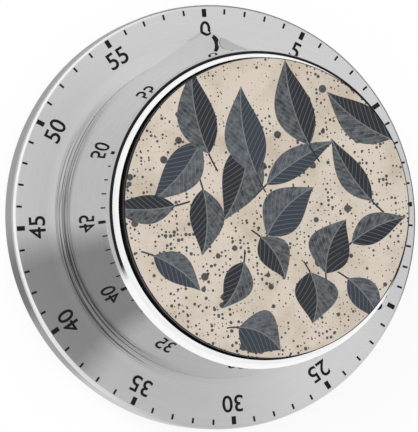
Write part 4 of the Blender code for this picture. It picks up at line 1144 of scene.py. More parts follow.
def join_rings(shape: Shape, rings: Sequence[Sequence[bmesh.types.BMVert]], closed: bool) -> None:
    """Join rings of vertices with faces.

    Args:
        shape: the mesh that holds them.
        rings: rings of one length, or of a single vertex at a pole.
        closed: whether the last ring is joined to the first.
    """
    count = max(len(ring) for ring in rings)
    following = list(rings[1:]) + ([rings[0]] if closed else [])
    for lower, upper in zip(rings, following):
        for here in range(count):
            there = (here + 1) % count
            corners = [
                lower[here % len(lower)],
                lower[there % len(lower)],
                upper[there % len(upper)],
                upper[here % len(upper)],
            ]
            shape.faces.new(list(dict.fromkeys(corners)))


def revolve(
    profile: Sequence[Point], segments: int, centre: Point = (0.0, 0.0), shape: Shape | None = None
) -> Shape:
    """Turn a profile about a vertical axis.

    Args:
        profile: radius and height of each point. One that starts on the axis also ends there.
        segments: steps round the axis.
        centre: where the axis stands.
        shape: a mesh to add to, or none for a new one.

    Returns:
        The mesh with the turned shape in it.
    """
    shape = shape or bmesh.new()
    rings = []
    for radius, height in profile:
        if radius < ON_AXIS:
            rings.append([shape.verts.new((*centre, height))])
            continue
        ring = []
        for step in range(segments):
            turn = FULL_TURN * step / segments
            across = centre[0] + radius * math.cos(turn)
            ring.append(shape.verts.new((across, centre[1] + radius * math.sin(turn), height)))
        rings.append(ring)
    join_rings(shape, rings, closed=len(rings[0]) > 1)
    return shape


def smooth(mesh: bpy.types.Mesh, crease: float = 32.0) -> bpy.types.Mesh:
    """Shade a mesh smooth except at its creases.

    Args:
        mesh: the mesh, which is changed.
        crease: least turn of a crease in degrees.

    Returns:
        The same mesh.
    """
    mesh.shade_smooth()
    mesh.set_sharp_from_angle(angle=math.radians(crease))
    return mesh


def as_object(name: str, shape: Shape) -> Piece:
    """Turn a closed shape to an object.

    Args:
        name: the piece's name.
        shape: the mesh, which is freed.

    Returns:
        The object, linked to the scene.
    """
    bmesh.ops.recalc_face_normals(shape, faces=shape.faces)
    mesh = bpy.data.meshes.new(name)
    shape.to_mesh(mesh)
    shape.free()
    made = bpy.data.objects.new(name, smooth(mesh))
    bpy.context.scene.collection.objects.link(made)
    return made


def discard(thing: Piece) -> None:
    """Remove an object that was only needed on the way, with its mesh.

    Args:
        thing: the mesh object.
    """
    mesh = thing.data
    bpy.data.objects.remove(thing)
    bpy.data.meshes.remove(mesh)


def settled(piece: Piece) -> Piece:
    """Replace a piece's mesh by what its modifiers make of it, and remove them.

    Args:
        piece: object with modifiers.

    Returns:
        The same object with a plain mesh.
    """
    depsgraph = bpy.context.evaluated_depsgraph_get()
    made = bpy.data.meshes.new_from_object(piece.evaluated_get(depsgraph), depsgraph=depsgraph)
    made.name = piece.name
    piece.modifiers.clear()
    old = piece.data
    piece.data = made
    bpy.data.meshes.remove(old)
    return piece


def cut(piece: Piece, cutter: Shape, operation: str = "DIFFERENCE") -> None:
    """Cut a closed shape out of a piece, or join it on.

    Args:
        piece: the object that is changed.
        cutter: closed shapes that are clear of each other.
        operation: DIFFERENCE or UNION.
    """
    tool = as_object(f"{piece.name}_cutter", cutter)
    boolean = piece.modifiers.new("shape", "BOOLEAN")
    boolean.operation = operation
    boolean.solver = "EXACT"
    boolean.object = tool
    settled(piece)
    discard(tool)
    smooth(piece.data)


def disc(
    radius: float, bottom: float, top: float, lower: float = 0.0, upper: float = 0.0
) -> list[Corner]:
    """Give the corners of a plain disc or post.

    Args:
        radius: its radius.
        bottom: height of its lower face.
        top: height of its upper face.
        lower: rounding of its lower edge.
        upper: rounding of its upper edge.

    Returns:
        Corners from the axis round to the axis.
    """
    return [(0.0, bottom, 0.0), (radius, bottom, lower), (radius, top, upper), (0.0, top, 0.0)]


def middle_of(node: str) -> Vector:
    """Give the middle of a node's box."""
    low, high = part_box(node)
    return (low + high) / 2


def axis_of(node: str) -> Point:
    """Give the place of a node's upright axis."""
    middle = middle_of(node)
    return middle.x, middle.y


def finish_piece(
    piece: Piece, finish: Finish, body: Body, nodes: Iterable[str] = ()
) -> None:
    """Give a piece its material, and let it ride and stand for its nodes.

    Args:
        piece: finished mesh object.
        finish: what it is made of.
        body: what it moves with.
        nodes: solids that it replaces.
    """
    piece.data.materials.clear()
    piece.data.materials.append(finish.material())
    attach(piece, body.value)
    replaced = tuple(nodes)
    if replaced:
        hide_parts(*replaced)
    LOG.info("%s: %d faces, in place of %s", piece.name, len(piece.data.polygons), replaced)


# Geometry Nodes


def set_inputs(modifier: bpy.types.NodesModifier, values: dict[str, Any]) -> None:
    """Set a tree's named inputs by their identifiers.

    Args:
        modifier: the modifier that holds the tree.
        values: value of each input by name.
    """
    for item in modifier.node_group.interface.items_tree:
        if item.item_type == "SOCKET" and item.in_out == "INPUT" and item.name in values:
            modifier[item.identifier] = values[item.name]


def new_tree(name: str, entries: Sequence[tuple[str, str]]) -> Tree:
    """Start a Geometry Nodes tree with named inputs.

    Args:
        name: the tree's name.
        entries: name and socket type of each input after the geometry.

    Returns:
        The tree, without nodes.
    """
    tree = bpy.data.node_groups.new(name, "GeometryNodeTree")
    for label, kind in (("Geometry", "NodeSocketGeometry"), *entries):
        tree.interface.new_socket(name=label, in_out="INPUT", socket_type=kind)
    tree.interface.new_socket(name="Geometry", in_out="OUTPUT", socket_type="NodeSocketGeometry")
    return tree


# Case


@dataclass
class DialFlange:
    """Stamped steel flange: rim with a rolled edge, flat scale band, cove and hidden lip."""

    radius: float = 39.0 * MM
    bottom: float = 0.3 * MM
    height: float = 5.5 * MM
    sheet: float = 0.6 * MM
    edge_round: float = 0.9 * MM
    scale_inner: float = 32.85 * MM
    cove_width: float = 2.95 * MM
    cove_rise: float = 0.63 * MM
    opening: float = 28.2 * MM
    foot_inner_round: float = 0.1 * MM
    foot_outer_round: float = 0.2 * MM
    shoulder_round: float = 0.35 * MM
    lip_round: float = 0.15 * MM
    cove_steps: int = 14
    round_steps: int = 8
    segments: int = 256

    def cove(self, outwards: float) -> list[Corner]:
        """Give the cove's points from the scale band inwards.

        Args:
            outwards: nought for the outer face, or the sheet for the face under it.

        Returns:
            Corners without rounding.
        """
        bow = (self.cove_width**2 + self.cove_rise**2) / (2 * self.cove_rise)
        sweep = math.asin(self.cove_width / bow)
        points = []
        for step in range(self.cove_steps):
            turn = sweep * step / self.cove_steps
            across = self.scale_inner - (bow + outwards) * math.sin(turn)
            points.append((across, self.height + bow - (bow + outwards) * math.cos(turn), 0.0))
        return points

    def build(self) -> Piece:
        """Build the sheet as one closed turned shape.

        Returns:
            The flange without its finish.
        """
        inner = self.radius - self.sheet
        cove_top = self.height + self.cove_rise
        cove_end = self.scale_inner - self.cove_width
        outline = [
            (inner, self.bottom, self.foot_inner_round),
            (self.radius, self.bottom, self.foot_outer_round),
            (self.radius, self.height, self.edge_round),
            *self.cove(0.0),
            (cove_end, cove_top, self.shoulder_round),
            (self.opening, cove_top, self.lip_round),
            (self.opening, cove_top - self.sheet, self.lip_round),
            *reversed(self.cove(self.sheet)),
            (inner, self.height - self.sheet, self.edge_round - self.sheet),
        ]
        profile = rounded(outline, self.round_steps)
        return as_object("flange_sheet", revolve(profile, self.segments))

    def dress(self) -> None:
        """Give the flange its brushed steel."""
        finish_piece(self.build(), BRUSHED_FLANGE, Body.CASE, ["dial_flange"])


@dataclass
class MinuteScale:
    """Printed scale: sixty marks, every fifth one long, and numerals inside them."""

    level: float = 5.5 * MM
    film: float = 0.02 * MM
    outer: float = 38.2 * MM
    short_length: float = 1.0 * MM
    long_length: float = 1.5 * MM
    short_width: float = 0.38 * MM
    long_width: float = 0.85 * MM
    long_every: int = 5
    numeral_height: float = 3.1 * MM
    numeral_circle: float = 34.4 * MM
    # Boldness and thickness are shares of the font's size. The thickness is then pressed to the
    # film's, so any will do.
    numeral_boldness: float = 0.012
    numeral_thickness: float = 0.5
    entries: tuple[tuple[str, str], ...] = (
        ("Count", "NodeSocketInt"),
        ("Long every", "NodeSocketInt"),
        ("Radius", "NodeSocketFloat"),
        ("Level", "NodeSocketFloat"),
        ("Film", "NodeSocketFloat"),
        ("Short length", "NodeSocketFloat"),
        ("Short width", "NodeSocketFloat"),
        ("Long length", "NodeSocketFloat"),
        ("Long width", "NodeSocketFloat"),
        ("Finish", "NodeSocketMaterial"),
    )

    def marks_tree(self) -> Tree:
        """Build the tree that stands long and short marks round a circle.

        Returns:
            The tree with its inputs, which are named in entries.
        """
        tree = new_tree("minute marks", self.entries)
        given = add_node(tree, "NodeGroupInput").outputs
        ring = add_node(
            tree,
            "GeometryNodeMeshCircle",
            None,
            {"Vertices": given["Count"], "Radius": given["Radius"]},
        ).outputs[0]
        parts = add_node(
            tree,
            "ShaderNodeSeparateXYZ",
            None,
            {0: add_node(tree, "GeometryNodeInputPosition").outputs[0]},
        ).outputs
        bearing = add_node(
            tree, "ShaderNodeMath", {"operation": "ARCTAN2"}, {0: parts["Y"], 1: parts["X"]}
        ).outputs[0]
        euler = add_node(tree, "ShaderNodeCombineXYZ", None, {2: bearing}).outputs[0]
        facing = add_node(tree, "FunctionNodeEulerToRotation", None, {0: euler}).outputs[0]
        rest = add_node(
            tree,
            "FunctionNodeIntegerMath",
            {"operation": "MODULO"},
            {0: add_node(tree, "GeometryNodeInputIndex").outputs[0], 1: given["Long every"]},
        ).outputs[0]
        is_long = add_node(
            tree, "FunctionNodeCompare", {"data_type": "INT", "operation": "EQUAL"}, {2: rest, 3: 0}
        ).outputs[0]
        is_short = add_node(
            tree, "FunctionNodeBooleanMath", {"operation": "NOT"}, {0: is_long}
        ).outputs[0]
        joined = add_node(tree, "GeometryNodeJoinGeometry")
        for size, chosen in (("Short", is_short), ("Long", is_long)):
            length = given[f"{size} length"]
            extent = add_node(
                tree,
                "ShaderNodeCombineXYZ",
                None,
                {0: length, 1: given[f"{size} width"], 2: given["Film"]},
            ).outputs[0]
            bar = add_node(tree, "GeometryNodeMeshCube", None, {"Size": extent}).outputs[0]
            inward = add_node(
                tree, "ShaderNodeMath", {"operation": "MULTIPLY"}, {0: length, 1: -0.5}
            ).outputs[0]
            above = add_node(
                tree,
                "ShaderNodeMath",
                {"operation": "MULTIPLY_ADD"},
                {0: given["Film"], 1: 0.5, 2: given["Level"]},
            ).outputs[0]
            shift = add_node(tree, "ShaderNodeCombineXYZ", None, {0: inward, 2: above}).outputs[0]
            placed = add_node(
                tree, "GeometryNodeTransform", None, {"Geometry": bar, "Translation": shift}
            ).outputs[0]
            stood = add_node(
                tree,
                "GeometryNodeInstanceOnPoints",
                None,
                {"Points": ring, "Selection": chosen, "Instance": placed, "Rotation": facing},
            ).outputs[0]
            tree.links.new(stood, joined.inputs[0])
        real = add_node(
            tree, "GeometryNodeRealizeInstances", None, {0: joined.outputs[0]}
        ).outputs[0]
        inked = add_node(
            tree, "GeometryNodeSetMaterial", None, {"Geometry": real, "Material": given["Finish"]}
        ).outputs[0]
        add_node(tree, "NodeGroupOutput", None, {0: inked})
        return tree

    def build_marks(self) -> Piece:
        """Grow the marks and settle them to one mesh.

        Returns:
            The marks as one piece.
        """
        marks = as_object("minute_marks", bmesh.new())
        grown = marks.modifiers.new("marks", "NODES")
        grown.node_group = self.marks_tree()
        sizes = {
            "Count": MINUTES,
            "Long every": self.long_every,
            "Radius": self.outer,
            "Level": self.level,
            "Film": self.film,
            "Short length": self.short_length,
            "Short width": self.short_width,
            "Long length": self.long_length,
            "Long width": self.long_width,
            "Finish": SCALE_INK.material(),
        }
        set_inputs(grown, sizes)
        return settled(marks)

    def numeral(self, minute: int) -> bpy.types.Mesh:
        """Draw one numeral, stand it on its bearing and give its mesh.

        Args:
            minute: the number that is printed.

        Returns:
            A closed mesh in place on the flange.
        """
        letters = bpy.data.curves.new(f"numeral_{minute}", "FONT")
        letters.body = str(minute)
        letters.bevel_depth = self.numeral_boldness
        letters.extrude = self.numeral_thickness
        text = bpy.data.objects.new(f"numeral_{minute}", letters)
        bpy.context.scene.collection.objects.link(text)
        depsgraph = bpy.context.evaluated_depsgraph_get()
        mesh = bpy.data.meshes.new_from_object(text.evaluated_get(depsgraph))
        bpy.data.objects.remove(text)
        bpy.data.curves.remove(letters)
        corners = [vertex.co for vertex in mesh.vertices]
        low = Vector(min(corner[axis] for corner in corners) for axis in range(3))
        high = Vector(max(corner[axis] for corner in corners) for axis in range(3))
        scale = self.numeral_height / (high.y - low.y)
        size = Matrix.Diagonal((scale, scale, self.film / (high.z - low.z), 1.0))
        turn = Matrix.Rotation(-FULL_TURN * minute / MINUTES, 4, "Z")
        stand = Matrix.Translation((0.0, self.numeral_circle, self.level + self.film / 2))
        mesh.transform(turn @ stand @ size @ Matrix.Translation(-(low + high) / 2))
        return mesh

    def build_numerals(self) -> Piece:
        """Join the twelve numerals to one piece.

        Returns:
            The numerals without their finish.
        """
        shape = bmesh.new()
        for minute in range(0, MINUTES, self.long_every):
            mesh = self.numeral(minute)
            shape.from_mesh(mesh)
            bpy.data.meshes.remove(mesh)
        bmesh.ops.remove_doubles(shape, verts=shape.verts, dist=MERGED)
        return as_object("minute_numerals", shape)

    def dress(self) -> None:
        """Print the marks and the numerals on the flange."""
        finish_piece(self.build_marks(), SCALE_INK, Body.CASE)
        finish_piece(self.build_numerals(), SCALE_INK, Body.CASE)


@dataclass
class BaseTray:
    """Moulded tray under the flange, with its rim, lip rest, movement well and bosses."""

    radius: float = 38.1 * MM
    inner: float = 36.9 * MM
    bottom: float = 0.3 * MM
    floor_under: float = 3.4 * MM
    floor_top: float = 4.6 * MM
    rest_outer: float = 29.9 * MM
    rest_inner: float = 28.3 * MM
    rest_top: float = 5.45 * MM
    well_outer: float = 23.7 * MM
    well_inner: float = 22.5 * MM
    well_top: float = 7.6 * MM
    pad_radius: float = 2.6 * MM
    pad_top: float = 5.2 * MM
    pad_bore: float = 1.2 * MM
    boss_radius: float = 2.4 * MM
    boss_bottom: float = 2.3 * MM
    pilot: float = 1.1 * MM
    pilot_top: float = 4.2 * MM
    edge: float = 0.15 * MM
    round_steps: int = 3
    segments: int = 160
    hole_segments: int = 40

    def build(self) -> Piece:
        """Turn the tray, join its pads and bosses, and bore them.

        Returns:
            The tray without its finish.
        """
        edge = self.edge
        outline = [
            (0.0, self.floor_under, 0.0),
            (self.inner, self.floor_under, edge),
            (self.inner, self.bottom, edge),
            (self.radius, self.bottom, edge),
            (self.radius, self.floor_top, 2 * edge),
            (self.rest_outer, self.floor_top, edge),
            (self.rest_outer, self.rest_top, edge),
            (self.rest_inner, self.rest_top, edge),
            (self.rest_inner, self.floor_top, edge),
            (self.well_outer, self.floor_top, 2 * edge),
            (self.well_outer, self.well_top, edge),
            (self.well_inner, self.well_top, edge),
            (self.well_inner, self.floor_top, 2 * edge),
            (0.0, self.floor_top, 0.0),
        ]
        steps = self.round_steps
        tray = as_object("tray_moulding", revolve(rounded(outline, steps), self.segments))
        posts = bmesh.new()
        bores = bmesh.new()
        inside = (self.floor_under + self.floor_top) / 2
        pad = disc(self.pad_radius, inside, self.pad_top, upper=edge)
        bore = disc(self.pad_bore, self.boss_bottom, self.well_top)
        for screw in FRAME_SCREWS:
            centre = axis_of(screw)
            revolve(rounded(pad, steps), self.hole_segments, centre, posts)
            revolve(rounded(bore), self.hole_segments, centre, bores)
        boss = disc(self.boss_radius, self.boss_bottom, inside, lower=edge)
        for screw in COVER_SCREWS:
            centre = axis_of(screw)
            revolve(rounded(boss, steps), self.hole_segments, centre, posts)
            drill = [
                (0.0, self.bottom),
                (self.pilot, self.bottom),
                (self.pilot, self.pilot_top - self.pilot / 2),
                (0.0, self.pilot_top),
            ]
            revolve(drill, self.hole_segments, centre, bores)
        cut(tray, posts, "UNION")
        cut(tray, bores)
        return tray

    def dress(self) -> None:
        """Give the tray its moulded plastic."""
        finish_piece(self.build(), BLACK_ABS, Body.CASE, ["base_tray"])


@dataclass
class BackCover:
    """Moulded back with holes for the magnets and stepped seats for its screws."""

    radius: float = 36.6 * MM
    thickness: float = 2.0 * MM
    edge: float = 0.3 * MM
    magnet_hole: float = 6.3 * MM
    head_seat: float = 2.4 * MM
    seat_depth: float = 1.1 * MM
    shank_hole: float = 1.3 * MM
    chamfer: float = 0.2 * MM
    segments: int = 160
    hole_segments: int = 64

    def build(self) -> Piece:
        """Turn the disc, then cut the magnet holes and the screw seats.

        Returns:
            The cover without its finish.
        """
        plate = disc(self.radius, 0.0, self.thickness, self.edge, self.edge / 2)
        cover = as_object("cover_moulding", revolve(rounded(plate, steps=4), self.segments))
        holes = bmesh.new()
        over = self.thickness + self.edge
        for magnet in MAGNETS:
            hole = [
                (0.0, -self.chamfer),
                (self.magnet_hole + 2 * self.chamfer, -self.chamfer),
                (self.magnet_hole, self.chamfer),
                (self.magnet_hole, over),
                (0.0, over),
            ]
            revolve(hole, self.hole_segments, axis_of(magnet), holes)
        for screw in COVER_SCREWS:
            seat = [
                (0.0, -self.chamfer),
                (self.head_seat + 2 * self.chamfer, -self.chamfer),
                (self.head_seat, self.chamfer),
                (self.head_seat, self.seat_depth),
                (self.shank_hole, self.seat_depth),
                (self.shank_hole, over),
                (0.0, over),
            ]
            revolve(seat, self.hole_segments, axis_of(screw), holes)
        cut(cover, holes)
        return cover

    def dress(self) -> None:
        """Give the cover its moulded plastic."""
        finish_piece(self.build(), BLACK_ABS, Body.CASE, ["back_cover"])


@dataclass
class PartSet:
    """Like parts that stand on the places of their nodes, grown by one Geometry Nodes tree."""

    nodes: tuple[str, ...]
    seed: int = 7
    entries: tuple[tuple[str, str], ...] = (
        ("Part", "NodeSocketObject"),
        ("Largest turn", "NodeSocketFloat"),
        ("Seed", "NodeSocketInt"),
        ("Finish", "NodeSocketMaterial"),
    )

    def tree(self) -> Tree:
        """Make the tree that stands the part on each point, turned by chance, or find it.

        Returns:
            The tree, which all sets share.
        """
        made = bpy.data.node_groups.get("part set")
        if made is not None:
            return made
        made = new_tree("part set", self.entries)
        given = add_node(made, "NodeGroupInput").outputs
        part = add_node(
            made, "GeometryNodeObjectInfo", None, {"Object": given["Part"]}
        ).outputs["Geometry"]
        chance = add_node(
            made,
            "FunctionNodeRandomValue",
            {"data_type": "FLOAT"},
            {2: 0.0, 3: given["Largest turn"], "Seed": given["Seed"]},
        ).outputs[1]
        euler = add_node(made, "ShaderNodeCombineXYZ", None, {2: chance}).outputs[0]
        facing = add_node(made, "FunctionNodeEulerToRotation", None, {0: euler}).outputs[0]
        stood = add_node(
            made,
            "GeometryNodeInstanceOnPoints",
            None,
            {"Points": given["Geometry"], "Instance": part, "Rotation": facing},
        ).outputs[0]
        real = add_node(made, "GeometryNodeRealizeInstances", None, {0: stood}).outputs[0]
        dressed = add_node(
            made, "GeometryNodeSetMaterial", None, {"Geometry": real, "Material": given["Finish"]}
        ).outputs[0]
        add_node(made, "NodeGroupOutput", None, {0: dressed})
        return made

    def grow(self, name: str, part: Shape, finish: Finish) -> Piece:
        """Stand a part on the middle of each node's box.

        Args:
            name: the piece's name.
            part: the part about the origin, which is freed.
            finish: what it is made of.

        Returns:
            One piece that holds every copy.
        """
        points = bmesh.new()
        for node in self.nodes:
            points.verts.new(middle_of(node))
        piece = as_object(name, points)
        pattern = as_object(f"{name}_pattern", part)
        grown = piece.modifiers.new("set", "NODES")
        grown.node_group = self.tree()
        values = {
            "Part": pattern,
            "Largest turn": FULL_TURN,
            "Seed": self.seed,
            "Finish": finish.material(),
        }
        set_inputs(grown, values)
        settled(piece)
        discard(pattern)
        smooth(piece.data)
        return piece


@dataclass
class Magnets:
    """Pressed disc magnets with broken edges."""

    radius: float = 6.0 * MM
    edge: float = 0.35 * MM
    segments: int = 64
    places: PartSet = field(default_factory=lambda: PartSet(MAGNETS))

    def build(self) -> Piece:
        """Build a disc of the nodes' thickness and stand it in each hole.

        Returns:
            The magnets as one piece.
        """
        low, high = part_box("magnet_1")
        half = (high.z - low.z) / 2
        outline = disc(self.radius, -half, half, self.edge, self.edge)
        part = revolve(rounded(outline, steps=2), self.segments)
        return self.places.grow("magnet_discs", part, HARD_FERRITE)

    def dress(self) -> None:
        """Give the magnets their sintered surface."""
        finish_piece(self.build(), HARD_FERRITE, Body.CASE, self.places.nodes)


@dataclass
class ScrewSet:
    """Pan-head screws of one size, with rolled threads and a driver recess."""

    name: str
    places: PartSet
    recess: Recess
    head_up: bool
    head_radius: float
    shank_radius: float
    head_height: float = 0.8 * MM
    head_edge: float = 0.08 * MM
    # The crown's rounding and the recess's depth are shares of the head's height. Half of the
    # recess's width is a share of the head's radius.
    crown: float = 0.45
    recess_depth: float = 0.55
    recess_half: float = 0.17
    thread_pitch: float = 0.5 * MM
    thread_depth: float = 0.12 * MM
    point: float = 0.5 * MM
    segments: int = 40

    def profile(self, length: float) -> list[Point]:
        """Give the screw's outline, head at the top, about its middle.

        Args:
            length: from the tip to the top of the head.

        Returns:
            Radius and height of each point, from the tip to the head.
        """
        top = length / 2
        seat = top - self.head_height
        points = [(0.0, -top), (self.shank_radius - 2 * self.thread_depth, -top)]
        height = -top + self.point
        while height + self.thread_pitch < seat - self.thread_pitch:
            points.append((self.shank_radius, height))
            root = height + self.thread_pitch / 2
            points.append((self.shank_radius - self.thread_depth, root))
            height += self.thread_pitch
        points.append((self.shank_radius, seat - self.thread_pitch))
        points.append((self.shank_radius, seat))
        crown = self.crown * self.head_height
        head = rounded(disc(self.head_radius, seat, top, self.head_edge, crown), steps=4)
        return points + head[1:]

    def recess_shape(self, top: float) -> Shape:
        """Build the driver's recess, a slot or a cross that narrows downwards.

        Args:
            top: height of the head's top.

        Returns:
            A closed cutter.
        """
        depth = self.recess_depth * self.head_height
        reach_share, taper = self.recess.value
        reach = reach_share * self.head_radius
        half = self.recess_half * self.head_radius
        arm = [(reach, -half), (reach, half)]
        outline = arm + [(-across, -up) for across, up in arm]
        if self.recess is Recess.CROSS:
            arm.append((half, half))
            outline = []
            for _ in range(4):
                outline += arm
                arm = [(-up, across) for across, up in arm]
        shape = bmesh.new()
        rings = []
        for share, height in ((taper, top - depth), (1.0, top + depth / 4)):
            ring = []
            for across, up in outline:
                ring.append(shape.verts.new((across * share, up * share, height)))
            rings.append(ring)
        join_rings(shape, rings, closed=False)
        shape.faces.new(rings[0])
        shape.faces.new(rings[1])
        return shape

    def build(self) -> Piece:
        """Build one screw, cut its recess and stand copies in their places.

        Returns:
            The screws as one piece.
        """
        low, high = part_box(self.places.nodes[0])
        length = high.z - low.z
        pattern = as_object(f"{self.name}_blank", revolve(self.profile(length), self.segments))
        cut(pattern, self.recess_shape(length / 2))
        if not self.head_up:
            pattern.data.transform(Matrix.Rotation(math.pi, 4, "X"))
        part = bmesh.new()
        part.from_mesh(pattern.data)
        discard(pattern)
        return self.places.grow(self.name, part, BRIGHT_ZINC)

    def dress(self) -> None:
        """Give the screws their zinc plate."""
        finish_piece(self.build(), BRIGHT_ZINC, Body.CASE, self.places.nodes)


# Knob


@dataclass
class KnobShell:
    """Drawn steel shell: a cone that swells to a pointer beak at its foot."""

    base_radius: float = 29.6 * MM
    top_radius: float = 28.0 * MM
    bottom: float = 6.45 * MM
    top: float = 28.5 * MM
    sheet: float = 0.6 * MM
    beak_reach: float = 34.3 * MM
    # The ridge's rounding in degrees, and the turn of the flank, in radians, that has all of it.
    ridge_softness: float = 0.3
    soft_flank: float = 0.25
    hem: float = 0.16 * MM
    # The beak's foot drops towards the flange. The drop grows over this reach beyond the cone,
    # and it fades out over this share of the height.
    beak_drop: float = 0.55 * MM
    drop_reach: float = 2.6 * MM
    drop_share: float = 0.25
    side_levels: int = 24
    round_steps: int = 4
    samples: int = 480
    # Nought spaces the samples evenly, and more draws them towards the beak.
    crowding: float = 0.82

    def outline_point(self, bearing: float, height: float, inset: float) -> Corner:
        """Give a point of the shell's section at a height.

        Args:
            bearing: angle from the beak in radians.
            height: height in the frame.
            inset: distance inside the outer face.

        Returns:
            The point's position.
        """
        share = (height - self.bottom) / (self.top - self.bottom)
        radius = self.base_radius + (self.top_radius - self.base_radius) * share
        apex = self.beak_reach + (self.top_radius - self.beak_reach) * share
        flank = math.acos(min(1.0, radius / apex))
        softness = math.radians(self.ridge_softness) * min(1.0, flank / self.soft_flank)
        off = math.hypot(bearing, softness)
        reach = (radius - inset) / math.cos(max(0.0, flank - off))
        over = min(1.0, max(0.0, reach + inset - self.base_radius) / self.drop_reach)
        drop = self.beak_drop * over * max(0.0, 1 - share / self.drop_share) ** 2
        return -reach * math.sin(bearing), reach * math.cos(bearing), height - drop

    def build(self) -> Piece:
        """Loft the wall's section round the beak's outline.

        Returns:
            The shell without its finish.
        """
        sides = []
        for level in range(1, self.side_levels):
            share = level / self.side_levels
            sides.append((0.0, self.bottom + (self.top - self.bottom) * share, 0.0))
        outline = [
            (self.sheet, self.bottom, self.hem),
            (0.0, self.bottom, self.hem),
            *sides,
            (0.0, self.top, self.hem),
            (self.sheet, self.top, self.hem),
        ]
        shape = bmesh.new()
        rings = []
        for inset, height in rounded(outline, self.round_steps):
            ring = []
            for sample in range(self.samples):
                share = 2 * sample / self.samples - 1
                bearing = math.pi * share * (1 - self.crowding * (1 - share * share))
                ring.append(shape.verts.new(self.outline_point(bearing, height, inset)))
            rings.append(ring)
        join_rings(shape, rings, closed=True)
        return as_object("knob_drawn_shell", shape)

    def dress(self) -> None:
        """Give the shell its mirror finish."""
        finish_piece(self.build(), DRAWN_MIRROR, Body.KNOB, ["knob_shell"])


@dataclass
class BezelRing:
    """Polished ring: a steep outside that rolls over to a narrow lip round the face.

    The slope falls evenly along each stretch of the section, from the foot to the lip.
    """

    foot: float = 28.52 * MM
    outer: float = 28.06 * MM
    stretches: tuple[tuple[float, float, float], ...] = (
        (1.0 * MM, 80.0, 75.0),
        (0.95 * MM, 75.0, 54.0),
        (1.15 * MM, 54.0, 20.0),
    )
    lip_width: float = 0.06 * MM
    lip_drop: float = 0.02 * MM
    lip_depth: float = 1.4 * MM
    lip_round: float = 0.06 * MM
    lip_foot_round: float = 0.1 * MM
    foot_width: float = 0.6 * MM
    foot_inner_round: float = 0.05 * MM
    foot_outer_round: float = 0.06 * MM
    steps: int = 12
    segments: int = 256

    def section(self) -> list[Corner]:
        """Walk up the outside of the ring from its foot to its lip.

        Returns:
            Corners without rounding.
        """
        across = self.outer
        up = self.foot
        points = []
        for length, first, last in self.stretches:
            for step in range(self.steps):
                slope = math.radians(first + (last - first) * (step + 0.5) / self.steps)
                across -= length / self.steps * math.cos(slope)
                up += length / self.steps * math.sin(slope)
                points.append((across, up, 0.0))
        return points

    def build(self) -> Piece:
        """Turn the outside with its lip and its inner wall.

        Returns:
            The ring without its finish.
        """
        side = self.section()
        inner = side[-1][0] - self.lip_width
        top = side[-1][1]
        outline = [
            (self.outer - self.foot_width, self.foot, self.foot_inner_round),
            (self.outer, self.foot, self.foot_outer_round),
            *side,
            (inner, top - self.lip_drop, self.lip_round),
            (inner, top - self.lip_depth, self.lip_foot_round),
        ]
        return as_object("bezel_polished_ring", revolve(rounded(outline), self.segments))

    def dress(self) -> None:
        """Give the ring its mirror finish."""
        finish_piece(self.build(), BEZEL_MIRROR, Body.KNOB, ["bezel_ring"])


@dataclass
class FacePlate:
    """Printed disc whose rim is painted near black as shade, which stands proud of the bezel's lip.
    """

    radius: float = 26.25 * MM
    bottom: float = 32.7 * MM
    top: float = 33.5 * MM
    edge: float = 0.12 * MM
    segments: int = 192

    def build(self) -> Piece:
        """Turn the disc with a softened edge.

        Returns:
            The disc without its print.
        """
        outline = disc(self.radius, self.bottom, self.top, self.edge / 2, self.edge)
        return as_object("face_printed_disc", revolve(rounded(outline, steps=4), self.segments))

    def dress(self) -> None:
        """Print the disc."""
        finish_piece(self.build(), FACE_PRINT, Body.KNOB, ["face_plate"])


# Movement


@dataclass
class Movement:
    """Solids that stay as they are: knob core, plates, train, bell, springs and hammer.

    Slots are the record's, by node.
    """

    slots: dict[str, str] = field(
        default_factory=lambda: {
            part["node"]: part["material_slot"] for part in frame["record"]["subparts"]
        }
    )

    def dress(self) -> None:
        """Give each solid that still shows the finish of its slot."""
        for name, node in frame["nodes"].items():
            if node.hide_render:
                continue
            finish = SLOT_FINISH[Slot(self.slots[name])]
            node.data.materials.clear()
            node.data.materials.append(finish.material())
            LOG.info("%s: solid kept, %s", name, finish.name)


# Studio


